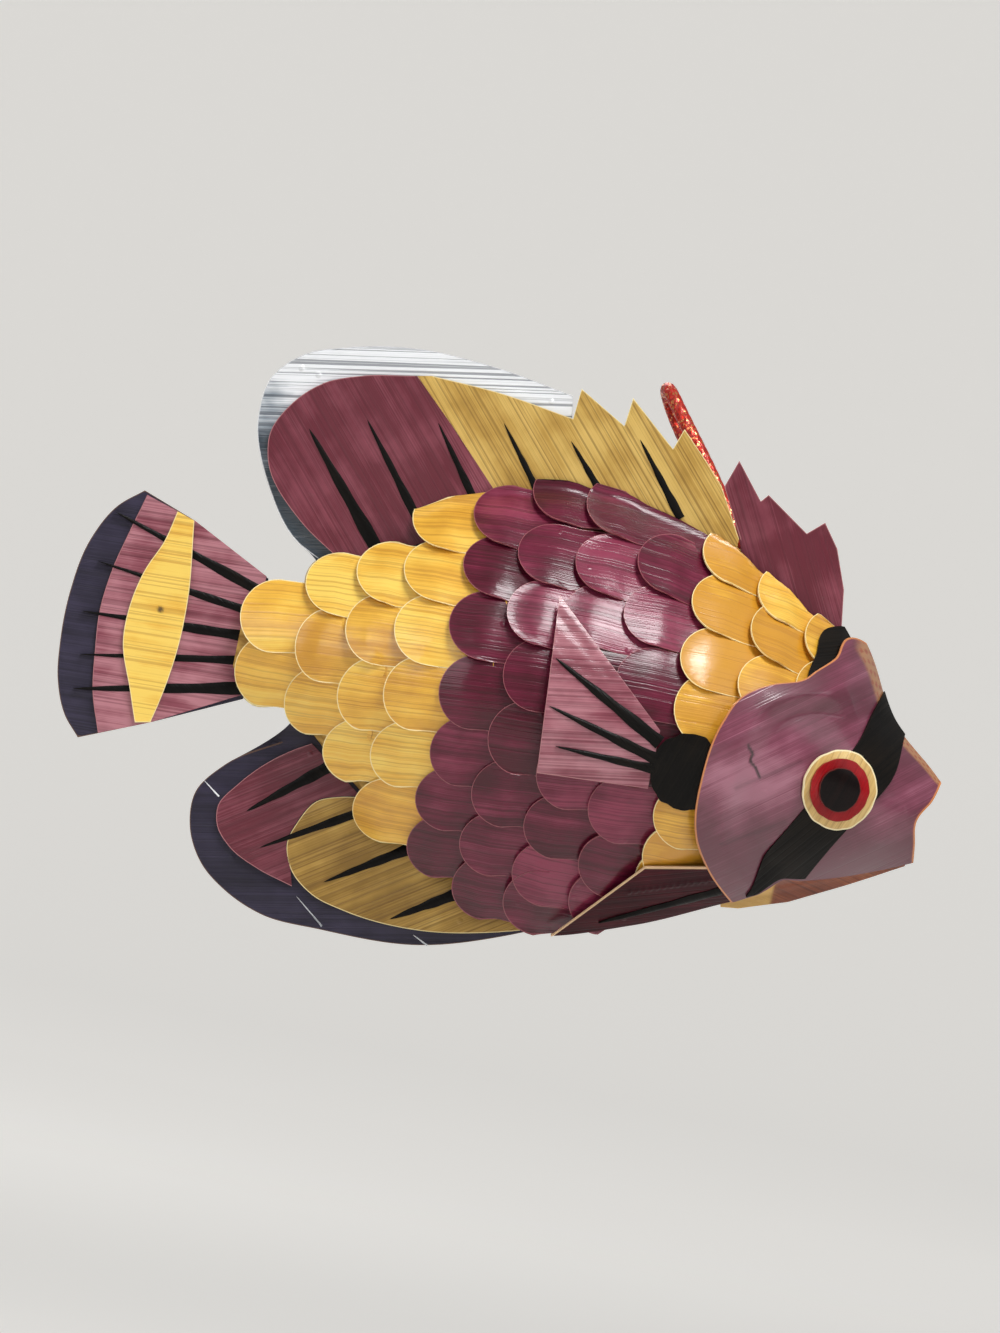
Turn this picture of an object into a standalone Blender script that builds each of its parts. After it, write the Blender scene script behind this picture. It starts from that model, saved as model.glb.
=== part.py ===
"""Raffia fish ornament: a light core dressed in lapped rows of dyed palm leaf.

The frame has +X towards the snout, +Z towards the back fin and +Y towards the fish's left.
The origin is on the back, where the hanging cord is tied.
"""

import math

import bmesh
import bpy
import numpy as np
from mathutils import Vector

# Driving dimensions, in metres.
BODY_LENGTH = 0.121          # tail root to upper lip
BODY_DEPTH = 0.0745          # back to belly, at the deepest station
BODY_WIDTH = 0.046           # flank to flank, at the widest station
CORD_STATION = 0.6612        # share of the length, from the tail root, where the cord is tied
TAIL_ROOT_X = -CORD_STATION * BODY_LENGTH
BODY_AXIS_Z = -0.0345        # height of the line that the stations are measured from
LEAF = 0.00045               # one layer of palm leaf
CARD = 0.0010                # the stiff middle layer of a fin
GAP = 0.0003                 # room left between two layers that are glued
SEAM = 0.00015               # from the middle plane to the edge of a leaf that meets its mirror image
LAP = 0.006                  # how far a row of scales lies over the row behind it
SCALLOP = 0.0046             # depth of the round ends along a row
TUCK = 0.004                 # how far leaves run in under the head cover
HOOD_FALL = 0.0055           # length over which the head cover comes down onto the core
TONGUE = 0.003               # how deep a fin is let into the core
ROOT_ROOM = 0.0014           # between the roots of the two back fins: their slots and a wall
DIVIDE_ROOM = 0.0005         # between two facings that lie side by side
CHIN_ROOM = 0.0008           # between the head cover's lower edge and the chin strip
DORSAL_HEIGHT = 0.0392       # back to the top of the back fin
FRONT_DORSAL_HEIGHT = 0.0154
ANAL_HEIGHT = 0.0304
TAIL_LENGTH = 0.0323         # tail root to the end of the tail fin
TAIL_HALF_SPREAD = 0.0225
EYE_RING_R = 0.0066
EYE_IRIS_R = 0.0051
EYE_PUPIL_R = 0.0035
EYE_BAND_HALF = 0.0039       # half the width of the black band, along X, halfway down
EYE_BAND_FLARE = 0.58        # how much wider it grows, as a share, from back to chin
GILL_DISC_R = 0.0060
NAPE_SHOW = 0.0035           # how far the nape patch stands out behind the head cover
PECTORAL_STAND = 0.0010      # how far the free end of the side fin stands off the scales
PELVIC_STAND = 0.0006
PELVIC_APART = 0.0042        # from the middle plane to the lower edge of a belly flap
CORD_D = 0.0025
LOOP_REACH = 0.037           # knot to the top of the hanging loop
LOOP_BEND_R = 0.0052         # the bend at the top of the loop
LOOP_ROOT_HALF = 0.0016      # half the distance between the strands at the knot
LOOP_LEAN = math.radians(30) # towards the tail, from the surface's normal
PAD_R = 0.0042               # the blob of glue that holds the cord
PAD_THICKNESS = 0.0006

RIGHT, LEFT = -1, 1
SIDES = ((RIGHT, "right"), (LEFT, "left"))

# The body's lines: share of the length, back above and belly below the axis as shares of the
# depth, and half width as a share of the greatest.
BODY_LINES = np.array([
    (0.000, 0.152, 0.100, 0.15),
    (0.083, 0.215, 0.160, 0.33),
    (0.165, 0.303, 0.268, 0.57),
    (0.289, 0.440, 0.402, 0.86),
    (0.455, 0.505, 0.495, 1.00),
    (0.620, 0.460, 0.423, 0.98),
    (0.760, 0.352, 0.315, 0.83),
    (0.843, 0.275, 0.259, 0.68),
    (0.917, 0.138, 0.208, 0.48),
    (0.967, 0.067, 0.168, 0.27),
    (1.000, 0.025, 0.143, 0.09),
])
LINE_SLOPES = np.gradient(BODY_LINES[:, 1:], BODY_LINES[:, 0], axis=0)

# Rows of scales from the tail: colour name, station of the round ends, scales on one side, and
# how far down the flank the row runs.
SCALE_ROWS = (
    ("rear_yellow_scales_1", -0.002, 2, 1.00),
    ("rear_yellow_scales_2", 0.079, 3, 1.00),
    ("rear_yellow_scales_3", 0.149, 4, 1.00),
    ("rear_yellow_scales_4", 0.212, 6, 1.00),
    ("mauve_scales_1", 0.289, 7, 1.00),
    ("mauve_scales_2", 0.364, 8, 1.00),
    ("mauve_scales_3", 0.438, 9, 1.00),
    ("mauve_scales_4", 0.521, 8, 1.00),
    ("front_yellow_scales_1", 0.603, 8, 1.00),
    ("front_yellow_scales_2", 0.688, 3, 0.36),
    ("front_yellow_scales_3", 0.764, 2, 0.25),
)
LAST_ROW_END = 0.842         # station that stands for the next row in front of the last one
SCALE_STEPS = 4              # facets along one scale's round end
RAMP_FIRST, RAMP_START, RAMP_END = 0.2, 0.45, 0.75   # limits of a short scale's slope

# The head cover's rear edge and mouth edge: share of the way down the flank, station.
HOOD_REAR = np.array([
    (0.00, 0.845), (0.06, 0.820), (0.16, 0.808), (0.23, 0.787), (0.28, 0.769), (0.33, 0.729),
    (0.38, 0.698), (0.46, 0.677), (0.60, 0.665), (0.77, 0.674), (0.86, 0.696), (1.00, 0.740),
])
HOOD_MOUTH = np.array([(0.00, 1.000), (0.57, 0.974), (1.00, 0.985)])
CHIN_TOP = 0.94              # how far down the flank the head cover meets the chin strip
CHIN_ENDS = (0.745, 0.960)   # stations of the chin strip's ends
EYE_AT = (0.866, 0.562)      # station, share of the way down the flank
EYE_BAND_LINE = np.array([(0.00, 0.922), (0.36, 0.896), (0.72, 0.846), (0.93, 0.810)])
GILL_DISC_AT = (0.647, 0.590)
NAPE_FOOT = 0.25             # how far down the flank the nape patch runs
PECTORAL_ROOT = ((0.593, 0.511), (0.593, 0.646))   # upper and lower corner: station, way down
PECTORAL_END = ((0.420, 0.247), (0.450, 0.634))
PELVIC_TOP = np.array([(0.515, 1.000), (0.620, 0.846), (0.770, 0.870)])  # station, way down
PELVIC_TUCK = 0.003
PELVIC_POINT = 0.985         # share of the flap's run at which its point is cut off
CORE_END = 0.963             # station of the core's front face, behind the lips
TAIL_SEAT = 0.025            # station of the core's rear face
CORD_WAY_DOWN = 0.05         # the cord's knot, on the left flank beside the fin

# Lifts of the layers off the core, from the inside out.
ROW_LOW = GAP
ROW_HIGH = ROW_LOW + LEAF + GAP
OVER_ROWS = ROW_HIGH + LEAF + GAP
HOOD_HIGH = OVER_ROWS + LEAF + GAP
HOOD_LOW = GAP
FACING_Y = CARD / 2 + GAP + LEAF / 2
SPINDLE_Y = FACING_Y + LEAF + GAP
FIN_CLEAR = FACING_Y + LEAF / 2 + GAP
CARD_CLEAR = CARD / 2 + GAP

YELLOW = (0.66, 0.36, 0.055)
MAUVE = (0.17, 0.045, 0.055)
HEAD_MAUVE = (0.30, 0.12, 0.15)
RUSSET = (0.30, 0.075, 0.025)
INDIGO = (0.035, 0.030, 0.045)
BLACK = (0.008, 0.006, 0.005)
RED = (0.42, 0.010, 0.012)
PAPER = (0.36, 0.25, 0.14)
GLUE = (0.45, 0.36, 0.20)


def fresh_collection(name):
    """An empty collection of this name, linked to the scene."""
    old = bpy.data.collections.get(name)
    if old:
        bpy.data.collections.remove(old)
    collection = bpy.data.collections.new(name)
    bpy.context.scene.collection.children.link(collection)
    return collection


for old_object in list(bpy.data.objects):
    bpy.data.objects.remove(old_object, do_unlink=True)
PARTS = fresh_collection("raffia_fish_ornament")
CUTTERS = fresh_collection("fin_slots")


def finish(name, colour, roughness, metallic=0.0):
    """A Principled material of one colour."""
    material = bpy.data.materials.new(name)
    material.use_nodes = True
    shader = material.node_tree.nodes["Principled BSDF"]
    shader.inputs["Base Color"].default_value = (*colour, 1.0)
    shader.inputs["Roughness"].default_value = roughness
    shader.inputs["Metallic"].default_value = metallic
    material.diffuse_color = (*colour, 1.0)
    return material


YELLOW_LEAF = finish("yellow_leaf", YELLOW, 0.32)
MAUVE_LEAF = finish("mauve_leaf", MAUVE, 0.28)
HEAD_LEAF = finish("head_leaf", HEAD_MAUVE, 0.28)
RUSSET_LEAF = finish("russet_leaf", RUSSET, 0.35)
INDIGO_CARD = finish("indigo_card", INDIGO, 0.25)
BLACK_LEAF = finish("black_leaf", BLACK, 0.35)
RED_PAPER = finish("red_paper", RED, 0.30)
CORE_PAPER = finish("core_paper", PAPER, 0.80)
CORD_THREAD = finish("cord_thread", RED, 0.35, 0.5)
CLEAR_GLUE = finish("clear_glue", GLUE, 0.20)


def station(share):
    """X of a share of the body's length, from the tail root."""
    return TAIL_ROOT_X + np.asarray(share, float) * BODY_LENGTH


def lines(x):
    """Back height, belly height and half width at x: cubics between the stations of the lines."""
    share = np.clip((np.asarray(x, float) - TAIL_ROOT_X) / BODY_LENGTH, 0.0, 1.0)
    knots = BODY_LINES[:, 0]
    left = np.clip(np.searchsorted(knots, share) - 1, 0, len(knots) - 2)
    span = knots[left + 1] - knots[left]
    u = ((share - knots[left]) / span)[..., None]
    rise = span[..., None]
    value = (
        BODY_LINES[left, 1:] * (2 * u**3 - 3 * u**2 + 1)
        + BODY_LINES[left + 1, 1:] * (3 * u**2 - 2 * u**3)
        + LINE_SLOPES[left] * rise * (u**3 - 2 * u**2 + u)
        + LINE_SLOPES[left + 1] * rise * (u**3 - u**2)
    )
    back = BODY_AXIS_Z + value[..., 0] * BODY_DEPTH
    belly = BODY_AXIS_Z - value[..., 1] * BODY_DEPTH
    return back, belly, value[..., 2] * BODY_WIDTH / 2


def left_flank(x, down):
    """A point of the core's left side; down goes from 0 on the back to 1 on the belly."""
    back, belly, half = lines(x)
    return np.stack([x, 4 * half * down * (1 - down), back + (belly - back) * down], axis=-1)


def outward(x, down):
    """The left side's unit normal."""
    step_x, step_down = BODY_LENGTH * 1e-4, 1e-4
    along = left_flank(x + step_x, down) - left_flank(x - step_x, down)
    across = left_flank(x, down + step_down) - left_flank(x, down - step_down)
    normal = np.cross(along, across)
    return normal / np.linalg.norm(normal, axis=-1, keepdims=True)


def flank(x, down, lift, side):
    """A point this far off the core's surface, along its normal, on either side."""
    x, down, lift = (np.array(v, float) for v in np.broadcast_arrays(x, down, lift))
    point = left_flank(x, down) + lift[..., None] * outward(x, down)
    point[..., 1] *= side
    return point


def edge(x, clear, lift, end):
    """How far from the back (end 0) or the belly (end 1) a lifted leaf clears the middle plane."""
    half = lines(x)[2]
    lean = outward(x, np.full(np.shape(x), float(end)))[..., 1]
    share = (clear - lift * lean) / (4 * half)
    return (1 - np.sqrt(1 - 4 * share)) / 2


def add_part(obj, material):
    """Give an object its material and put it with the parts."""
    obj.data.materials.clear()
    obj.data.materials.append(material)
    for collection in list(obj.users_collection):
        collection.objects.unlink(obj)
    PARTS.objects.link(obj)
    return obj


def leaf(name, points, material, thickness=LEAF):
    """A leaf laid over a grid of points; Solidify gives it its thickness on the outside."""
    rows, columns = points.shape[:2]
    shape = bmesh.new()
    bmesh.ops.create_grid(shape, x_segments=columns - 1, y_segments=rows - 1, size=1)
    for vertex, place in zip(shape.verts, points.reshape(-1, 3)):
        vertex.co = place
    return laid_leaf(name, shape, material, thickness)


def laid_leaf(name, shape, material, thickness):
    """Turn an open surface outwards, make it an object and thicken it away from the core."""
    shape.normal_update()
    outward = sum(face.normal.y * face.calc_center_median().y for face in shape.faces)
    if outward < 0:
        bmesh.ops.reverse_faces(shape, faces=shape.faces)
    mesh = bpy.data.meshes.new(name)
    shape.to_mesh(mesh)
    shape.free()
    mesh.shade_smooth()
    mesh.set_sharp_from_angle(angle=math.radians(40))
    obj = bpy.data.objects.new(name, mesh)
    solidify = obj.modifiers.new("leaf_thickness", "SOLIDIFY")
    solidify.thickness = thickness
    solidify.offset = 1
    solidify.use_even_offset = True
    return add_part(obj, material)


def draped_disc(name, at, radius, lift, side, material, thickness=LEAF, rings=1, segments=22):
    """A round leaf that follows the flank: a filled circle, ringed, then laid on the surface."""
    shape = bmesh.new()
    bmesh.ops.create_circle(shape, cap_ends=True, cap_tris=True, segments=segments, radius=radius)
    spokes = [e for e in shape.edges if min(v.co.length for v in e.verts) < radius / 2]
    bmesh.ops.subdivide_edges(shape, edges=spokes, cuts=rings - 1)
    centre_x = float(station(at[0]))
    back, belly, half = lines(centre_x)
    run = math.hypot(back - belly, 4 * half * (1 - 2 * at[1]))
    middle = back + (belly - back) * at[1]
    rise = (back - belly) / run
    for vertex in shape.verts:
        x, z = centre_x + vertex.co.x, middle + rise * vertex.co.y
        top, bottom, _ = lines(x)
        vertex.co = flank(x, (top - z) / (top - bottom), lift, side)
    return laid_leaf(name, shape, material, thickness)


def flat_curve(name, runs, thickness):
    """A flat outline in the XZ plane. Each run of points is a smooth curve or straight lines."""
    curve = bpy.data.curves.new(name, "CURVE")
    curve.dimensions = "2D"
    curve.fill_mode = "BOTH"
    curve.extrude = thickness / 2
    curve.resolution_u = 3
    places, bends = [], []
    for smooth, points in runs:
        last = len(points) - 1
        for k, point in enumerate(points):
            places.append(point)
            bends.append((smooth and k > 0, smooth and k < last))
    spline = curve.splines.new("BEZIER")
    spline.bezier_points.add(len(places) - 1)
    spline.use_cyclic_u = True
    for knot, (x, z), (bend_in, bend_out) in zip(spline.bezier_points, places, bends):
        knot.co = (x, z, 0)
        knot.handle_left_type = "AUTO" if bend_in else "VECTOR"
        knot.handle_right_type = "AUTO" if bend_out else "VECTOR"
    obj = bpy.data.objects.new(name, curve)
    obj.rotation_euler = (math.pi / 2, 0, 0)
    return obj


def fin_piece(name, runs, thickness, y, material):
    """A flat fin layer, upright along the fish, at this distance from the middle plane."""
    obj = flat_curve(name, runs, thickness)
    obj.location = (0, y, 0)
    return add_part(obj, material)


def over_back(points, height):
    """Outline points from stations and from shares of a fin's height above the back."""
    return [(float(station(s)), float(lines(station(s))[0]) + h * height) for s, h in points]


def under_belly(points, height):
    """Outline points from stations and from shares of a fin's height below the belly."""
    return [(float(station(s)), float(lines(station(s))[1]) - h * height) for s, h in points]


def behind_root(points):
    """Outline points from shares of the tail fin's length and of half its spread."""
    root_x = float(station(TAIL_SEAT))
    back, belly, _ = lines(root_x)
    middle = float(back + belly) / 2
    return [(root_x - u * TAIL_LENGTH, middle + v * TAIL_HALF_SPREAD) for u, v in points]


def body_core():
    """The light core: a cylinder with rings, drawn out to the body's lines."""
    rings, around = 19, 24
    bpy.ops.mesh.primitive_cylinder_add(vertices=around, radius=1, depth=1)
    core = bpy.context.object
    core.name = core.data.name = "body_core"
    shape = bmesh.new()
    shape.from_mesh(core.data)
    uprights = [e for e in shape.edges if abs(e.verts[0].co.z - e.verts[1].co.z) > 0.5]
    bmesh.ops.subdivide_edges(shape, edges=uprights, cuts=rings - 1)
    rear, front = station((TAIL_SEAT, CORE_END))
    for vertex in shape.verts:
        turn = math.atan2(vertex.co.x, vertex.co.y) / math.pi
        x = rear + (vertex.co.z + 0.5) * (front - rear)
        point = left_flank(x, abs(turn))
        point[1] *= math.copysign(1, turn)
        vertex.co = point
    bmesh.ops.recalc_face_normals(shape, faces=shape.faces)
    shape.to_mesh(core.data)
    shape.free()
    core.data.shade_smooth()
    core.data.set_sharp_from_angle(angle=math.radians(40))
    return add_part(core, CORE_PAPER)


def cut_slot(core, name, outline):
    """Cut a fin's slot into the core: the tongue's outline with room round it."""
    curve = flat_curve(name + "_outline", [(False, outline)], CARD + 2 * GAP)
    PARTS.objects.link(curve)
    bpy.context.view_layer.update()
    seen = curve.evaluated_get(bpy.context.evaluated_depsgraph_get())
    mesh = bpy.data.meshes.new_from_object(seen)
    shape = bmesh.new()
    shape.from_mesh(mesh)
    bmesh.ops.remove_doubles(shape, verts=shape.verts, dist=1e-6)
    bmesh.ops.recalc_face_normals(shape, faces=shape.faces)
    shape.to_mesh(mesh)
    shape.free()
    cutter = bpy.data.objects.new(name, mesh)
    cutter.matrix_world = curve.matrix_world.copy()
    bpy.data.objects.remove(curve, do_unlink=True)
    cutter.hide_render = True
    cutter.display_type = "WIRE"
    CUTTERS.objects.link(cutter)
    boolean = core.modifiers.new(name, "BOOLEAN")
    boolean.operation = "DIFFERENCE"
    boolean.object = cutter


def root_line(place, first, last, height, steps=9):
    """Points along the back or belly between two stations, at one height off it."""
    return place([(s, height) for s in np.linspace(first, last, steps)], 1.0)


def slot_outline(place, first, last):
    """The outline of a slot under the back or the belly, a gap larger than the tongue."""
    spare = GAP / BODY_LENGTH
    deep = root_line(place, first - spare, last + spare, -TONGUE - GAP)
    clear = root_line(place, last + spare, first - spare, TONGUE)
    return deep + clear


def scale_row(rank, side, side_name):
    """One side's row of scales: a band with a round end for each scale, lapped over its neighbour."""
    name, share, count, foot = SCALE_ROWS[rank]
    tip = float(station(share))
    is_last = rank + 1 == len(SCALE_ROWS)
    next_tip = float(station(LAST_ROW_END if is_last else SCALE_ROWS[rank + 1][1]))
    turn = np.linspace(0, math.pi, SCALE_STEPS + 1)[:-1]
    along = (np.arange(count)[:, None] + (1 - np.cos(turn)) / 2).ravel() / count
    along = np.append(along, 1.0)
    notch = np.append(np.tile(SCALLOP * (1 - np.sin(turn)), count), SCALLOP)
    down_table = np.linspace(0, foot, 40)
    girth = np.linalg.norm(np.diff(left_flank(np.full(40, tip + LAP), down_table), axis=0), axis=1)
    arc = np.append(0, np.cumsum(girth))
    way = np.interp(along * arc[-1], arc, down_table) / foot
    covered = station(np.interp(way * foot, HOOD_REAR[:, 0], HOOD_REAR[:, 1])) + TUCK
    front = np.minimum(next_tip + LAP, covered)
    rear = np.minimum(tip + notch, front - LAP / 2)
    ramp_start = np.minimum(tip + LAP + GAP, rear + RAMP_START * (front - rear))
    ramp_end = np.minimum(next_tip - GAP, rear + RAMP_END * (front - rear))
    ramp_start = np.maximum(ramp_start, rear + RAMP_FIRST * (front - rear))
    x = np.stack([rear, ramp_start, ramp_end, front])
    high = ROW_LOW if rank == 0 else ROW_HIGH
    lift = np.interp(x, (tip + LAP + GAP, next_tip - GAP), (high, ROW_LOW))
    top = edge(x, FIN_CLEAR, lift, 0)
    bottom = 1 - edge(x, FIN_CLEAR, lift, 1) if foot == 1 else foot
    down = top + (bottom - top) * way
    material = MAUVE_LEAF if name.startswith("mauve") else YELLOW_LEAF
    return leaf(f"{name}_{side_name}", flank(x, down, lift, side), material)


def hood_rear(way):
    """X of the head cover's rear edge, from how far down the flank it is."""
    return station(np.interp(way, HOOD_REAR[:, 0], HOOD_REAR[:, 1]))


def hood_lift(x, way):
    """The head cover stands clear of what is tucked under it, then falls onto the core."""
    start = hood_rear(way) + TUCK + GAP
    return HOOD_HIGH + (HOOD_LOW - HOOD_HIGH) * np.clip((x - start) / HOOD_FALL, 0, 1)


def from_back_to_belly(x, way, lift, clear):
    """How far down the flank each point is, between the two edges that clear the middle plane."""
    top, foot = edge(x, clear, lift, 0), 1 - edge(x, clear, lift, 1)
    return top + (foot - top) * way


def head_cover(side, side_name):
    """One half of the head: a leaf from the gill edge to the mouth, open at the lips."""
    way = np.linspace(0, CHIN_TOP, 16)[None, :]
    rear = hood_rear(way)
    mouth = station(np.interp(way, HOOD_MOUTH[:, 0], HOOD_MOUTH[:, 1]))
    fall_start = rear + TUCK + GAP
    fall_end = fall_start + HOOD_FALL
    ahead = np.linspace(0, 1, 5)[1:, None]
    x = np.concatenate([rear, fall_start, fall_end, fall_end + (mouth - fall_end) * ahead])
    lift = hood_lift(x, way)
    down = from_back_to_belly(x, way, lift, SEAM)
    return leaf(f"head_cover_{side_name}", flank(x, down, lift, side), HEAD_LEAF)


def chin_strip():
    """A leaf folded along the keel under the head, from one head cover's edge to the other's."""
    x = np.linspace(*station(CHIN_ENDS), 9)[:, None]
    back, belly, _ = lines(x)
    foot = CHIN_TOP + CHIN_ROOM / (back - belly)
    up_the_side = np.linspace(1, 0, 4)[None, :]
    right = flank(x, 1 - (1 - foot) * up_the_side, GAP, RIGHT)
    left = right[:, ::-1] * (1, -1, 1)
    keel = right[:, -1:] * (1, 0, 1)
    keel[..., 2] = belly + GAP / outward(x, np.ones_like(x))[..., 2]
    return leaf("chin_strip", np.concatenate([right[:, :-1], keel, left[:, 1:]], axis=1), RUSSET_LEAF)


def eye_band(side, side_name):
    """The black band that runs over the head and under the eye."""
    way = np.linspace(0, EYE_BAND_LINE[-1, 0], 13)[None, :]
    middle = station(np.interp(way, EYE_BAND_LINE[:, 0], EYE_BAND_LINE[:, 1]))
    half = EYE_BAND_HALF * (1 + EYE_BAND_FLARE * (way - 0.5))
    x = middle + half * np.linspace(-1, 1, 4)[:, None]
    lift = hood_lift(x, way) + LEAF + GAP
    down = from_back_to_belly(x, way, lift, SEAM)
    return leaf(f"eye_band_{side_name}", flank(x, down, lift, side), BLACK_LEAF)


def eye(side, side_name):
    """Three round papers, one on another, over the black band."""
    lift = HOOD_LOW + 2 * (LEAF + GAP)
    papers = (("ring", EYE_RING_R, YELLOW_LEAF), ("iris", EYE_IRIS_R, RED_PAPER),
              ("pupil", EYE_PUPIL_R, BLACK_LEAF))
    for word, radius, material in papers:
        draped_disc(f"eye_{word}_{side_name}", EYE_AT, radius, lift, side, material, rings=2)
        lift += LEAF + GAP


def nape_patch(side, side_name):
    """A black leaf behind the top of the head, its rear edge a round crescent."""
    way = np.linspace(0, NAPE_FOOT, 7)[None, :]
    show = NAPE_SHOW * np.cos(math.pi / 2 * (way / NAPE_FOOT) ** 2)
    rear, front = hood_rear(way) - show, hood_rear(way) + TUCK
    x = rear + (front - rear) * np.linspace(0, 1, 4)[:, None]
    top = edge(x, CARD_CLEAR, OVER_ROWS, 0)
    down = top + (NAPE_FOOT - top) * way / NAPE_FOOT
    return leaf(f"nape_patch_{side_name}", flank(x, down, OVER_ROWS, side), BLACK_LEAF)


def pectoral_fin(side, side_name):
    """The side fin: a fan from the gill disc, its free end a little off the scales."""
    (root_x, root_top), (_, root_bottom) = PECTORAL_ROOT
    (top_x, end_top), (bottom_x, end_bottom) = PECTORAL_END
    out = np.linspace(0, 1, 6)[None, :]
    low = np.linspace(0, 1, 6)[:, None]
    end_x = top_x + (bottom_x - top_x) * low
    x = station(root_x + (end_x - root_x) * out)
    root = root_top + (root_bottom - root_top) * low
    end = end_top + (end_bottom - end_top) * low
    down = root + (end - root) * out
    lift = OVER_ROWS + PECTORAL_STAND * out**2 + 0 * low
    return leaf(f"pectoral_fin_{side_name}", flank(x, down, lift, side), MAUVE_LEAF)


def pelvic_fin(side, side_name):
    """The belly flap: tucked under the head cover, running back to a point on the belly."""
    back_along = np.linspace(0, 1, 9)[None, :]
    low = np.linspace(0, 1, 5)[:, None]
    tip_x = station(PELVIC_TOP[0, 0])
    front_top = np.interp(PELVIC_TOP[-1, 0], PELVIC_TOP[:, 0], PELVIC_TOP[:, 1])
    front_x = hood_rear(front_top + (1 - front_top) * low) + PELVIC_TUCK
    x = front_x + (tip_x - front_x) * PELVIC_POINT * back_along
    top = np.interp(x, station(PELVIC_TOP[:, 0]), PELVIC_TOP[:, 1])
    lift = OVER_ROWS + PELVIC_STAND * back_along**2 + 0 * low
    foot = 1 - edge(x, PELVIC_APART, lift, 1)
    down = top + (foot - top) * low
    return leaf(f"pelvic_fin_{side_name}", flank(x, down, lift, side), MAUVE_LEAF)


# Fin outlines: station and share of the fin's height, from the rear base round to the front base.
DORSAL_ROOT = (0.100, 0.655)
DORSAL_LOBE = [(0.088, 0.03), (0.059, 0.115), (-0.002, 0.42), (-0.036, 0.70), (-0.029, 0.88),
               (0.008, 0.99), (0.065, 0.98), (0.151, 0.867), (0.279, 0.587), (0.388, 0.42)]
DORSAL_TEETH = [(0.397, 0.452), (0.466, 0.316), (0.470, 0.441), (0.539, 0.283), (0.549, 0.383),
                (0.591, 0.290), (0.616, 0.232), (0.655, 0.070)]
DORSAL_NOTCH = (0.394, 0.300)
DORSAL_DIVIDE = [(0.169, 0.717), (0.231, 0.400), (0.309, 0.020)]
DORSAL_REAR_EDGE = [(0.100, 0.050), (0.051, 0.230), (-0.010, 0.526), (-0.015, 0.640),
                    (0.006, 0.775), (0.045, 0.840), (0.091, 0.827), (0.166, 0.722)]
DORSAL_TOP_EDGE = [(0.394, 0.320), (0.289, 0.467), (0.190, 0.685)]
FRONT_DORSAL_ROOT = (DORSAL_ROOT[1] + ROOT_ROOM / BODY_LENGTH, 0.812)
FRONT_DORSAL_TEETH = [(0.660, 0.17), (0.620, 0.60), (0.633, 0.95), (0.674, 0.70), (0.683, 0.82),
                      (0.746, 0.75), (0.768, 1.00), (0.792, 0.84), (0.813, 0.50), (0.821, 0.12)]
ANAL_ROOT = (0.108, 0.450)
ANAL_LOBE = [(0.095, 0.03), (0.019, 0.378), (-0.013, 0.590), (-0.010, 0.790), (0.016, 0.945),
             (0.055, 1.000), (0.112, 0.945), (0.196, 0.690), (0.336, 0.330), (0.455, 0.040)]
ANAL_YELLOW_REAR = [(0.182, 0.020), (0.158, 0.110), (0.135, 0.326), (0.127, 0.470),
                    (0.140, 0.570), (0.175, 0.570), (0.225, 0.480), (0.333, 0.255),
                    (0.436, 0.045)]
ANAL_MAUVE_REAR = [(0.108, 0.030), (0.042, 0.437), (0.022, 0.600), (0.026, 0.700),
                   (0.050, 0.770), (0.092, 0.760), (0.146, 0.640)]
# Tail outlines: share of the tail's length behind the root, share of half its spread.
TAIL_EDGE = [(0.728, 0.916), (0.848, 0.764), (0.954, 0.467), (1.000, 0.067), (0.997, -0.316),
             (0.966, -0.613), (0.892, -0.858), (0.802, -1.000)]
TAIL_UPPER, TAIL_LOWER = (0.440, 0.773), (0.449, -0.778)
TAIL_FACING_EDGE = [(0.709, 0.887), (0.759, 0.600), (0.808, 0.280), (0.827, -0.036),
                    (0.808, -0.333), (0.775, -0.640), (0.703, -0.935)]
TAIL_FACING_ROOT = ((0.0125, -0.435), (0.0125, 0.475))
SPINDLE_REAR = [(0.536, 0.813), (0.570, 0.580), (0.640, 0.330), (0.678, 0.050),
                (0.675, -0.218), (0.585, -0.573), (0.526, -0.800)]
SPINDLE_FRONT = [(0.446, -0.775), (0.421, -0.600), (0.384, -0.129), (0.387, 0.178),
                 (0.440, 0.770)]


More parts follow.
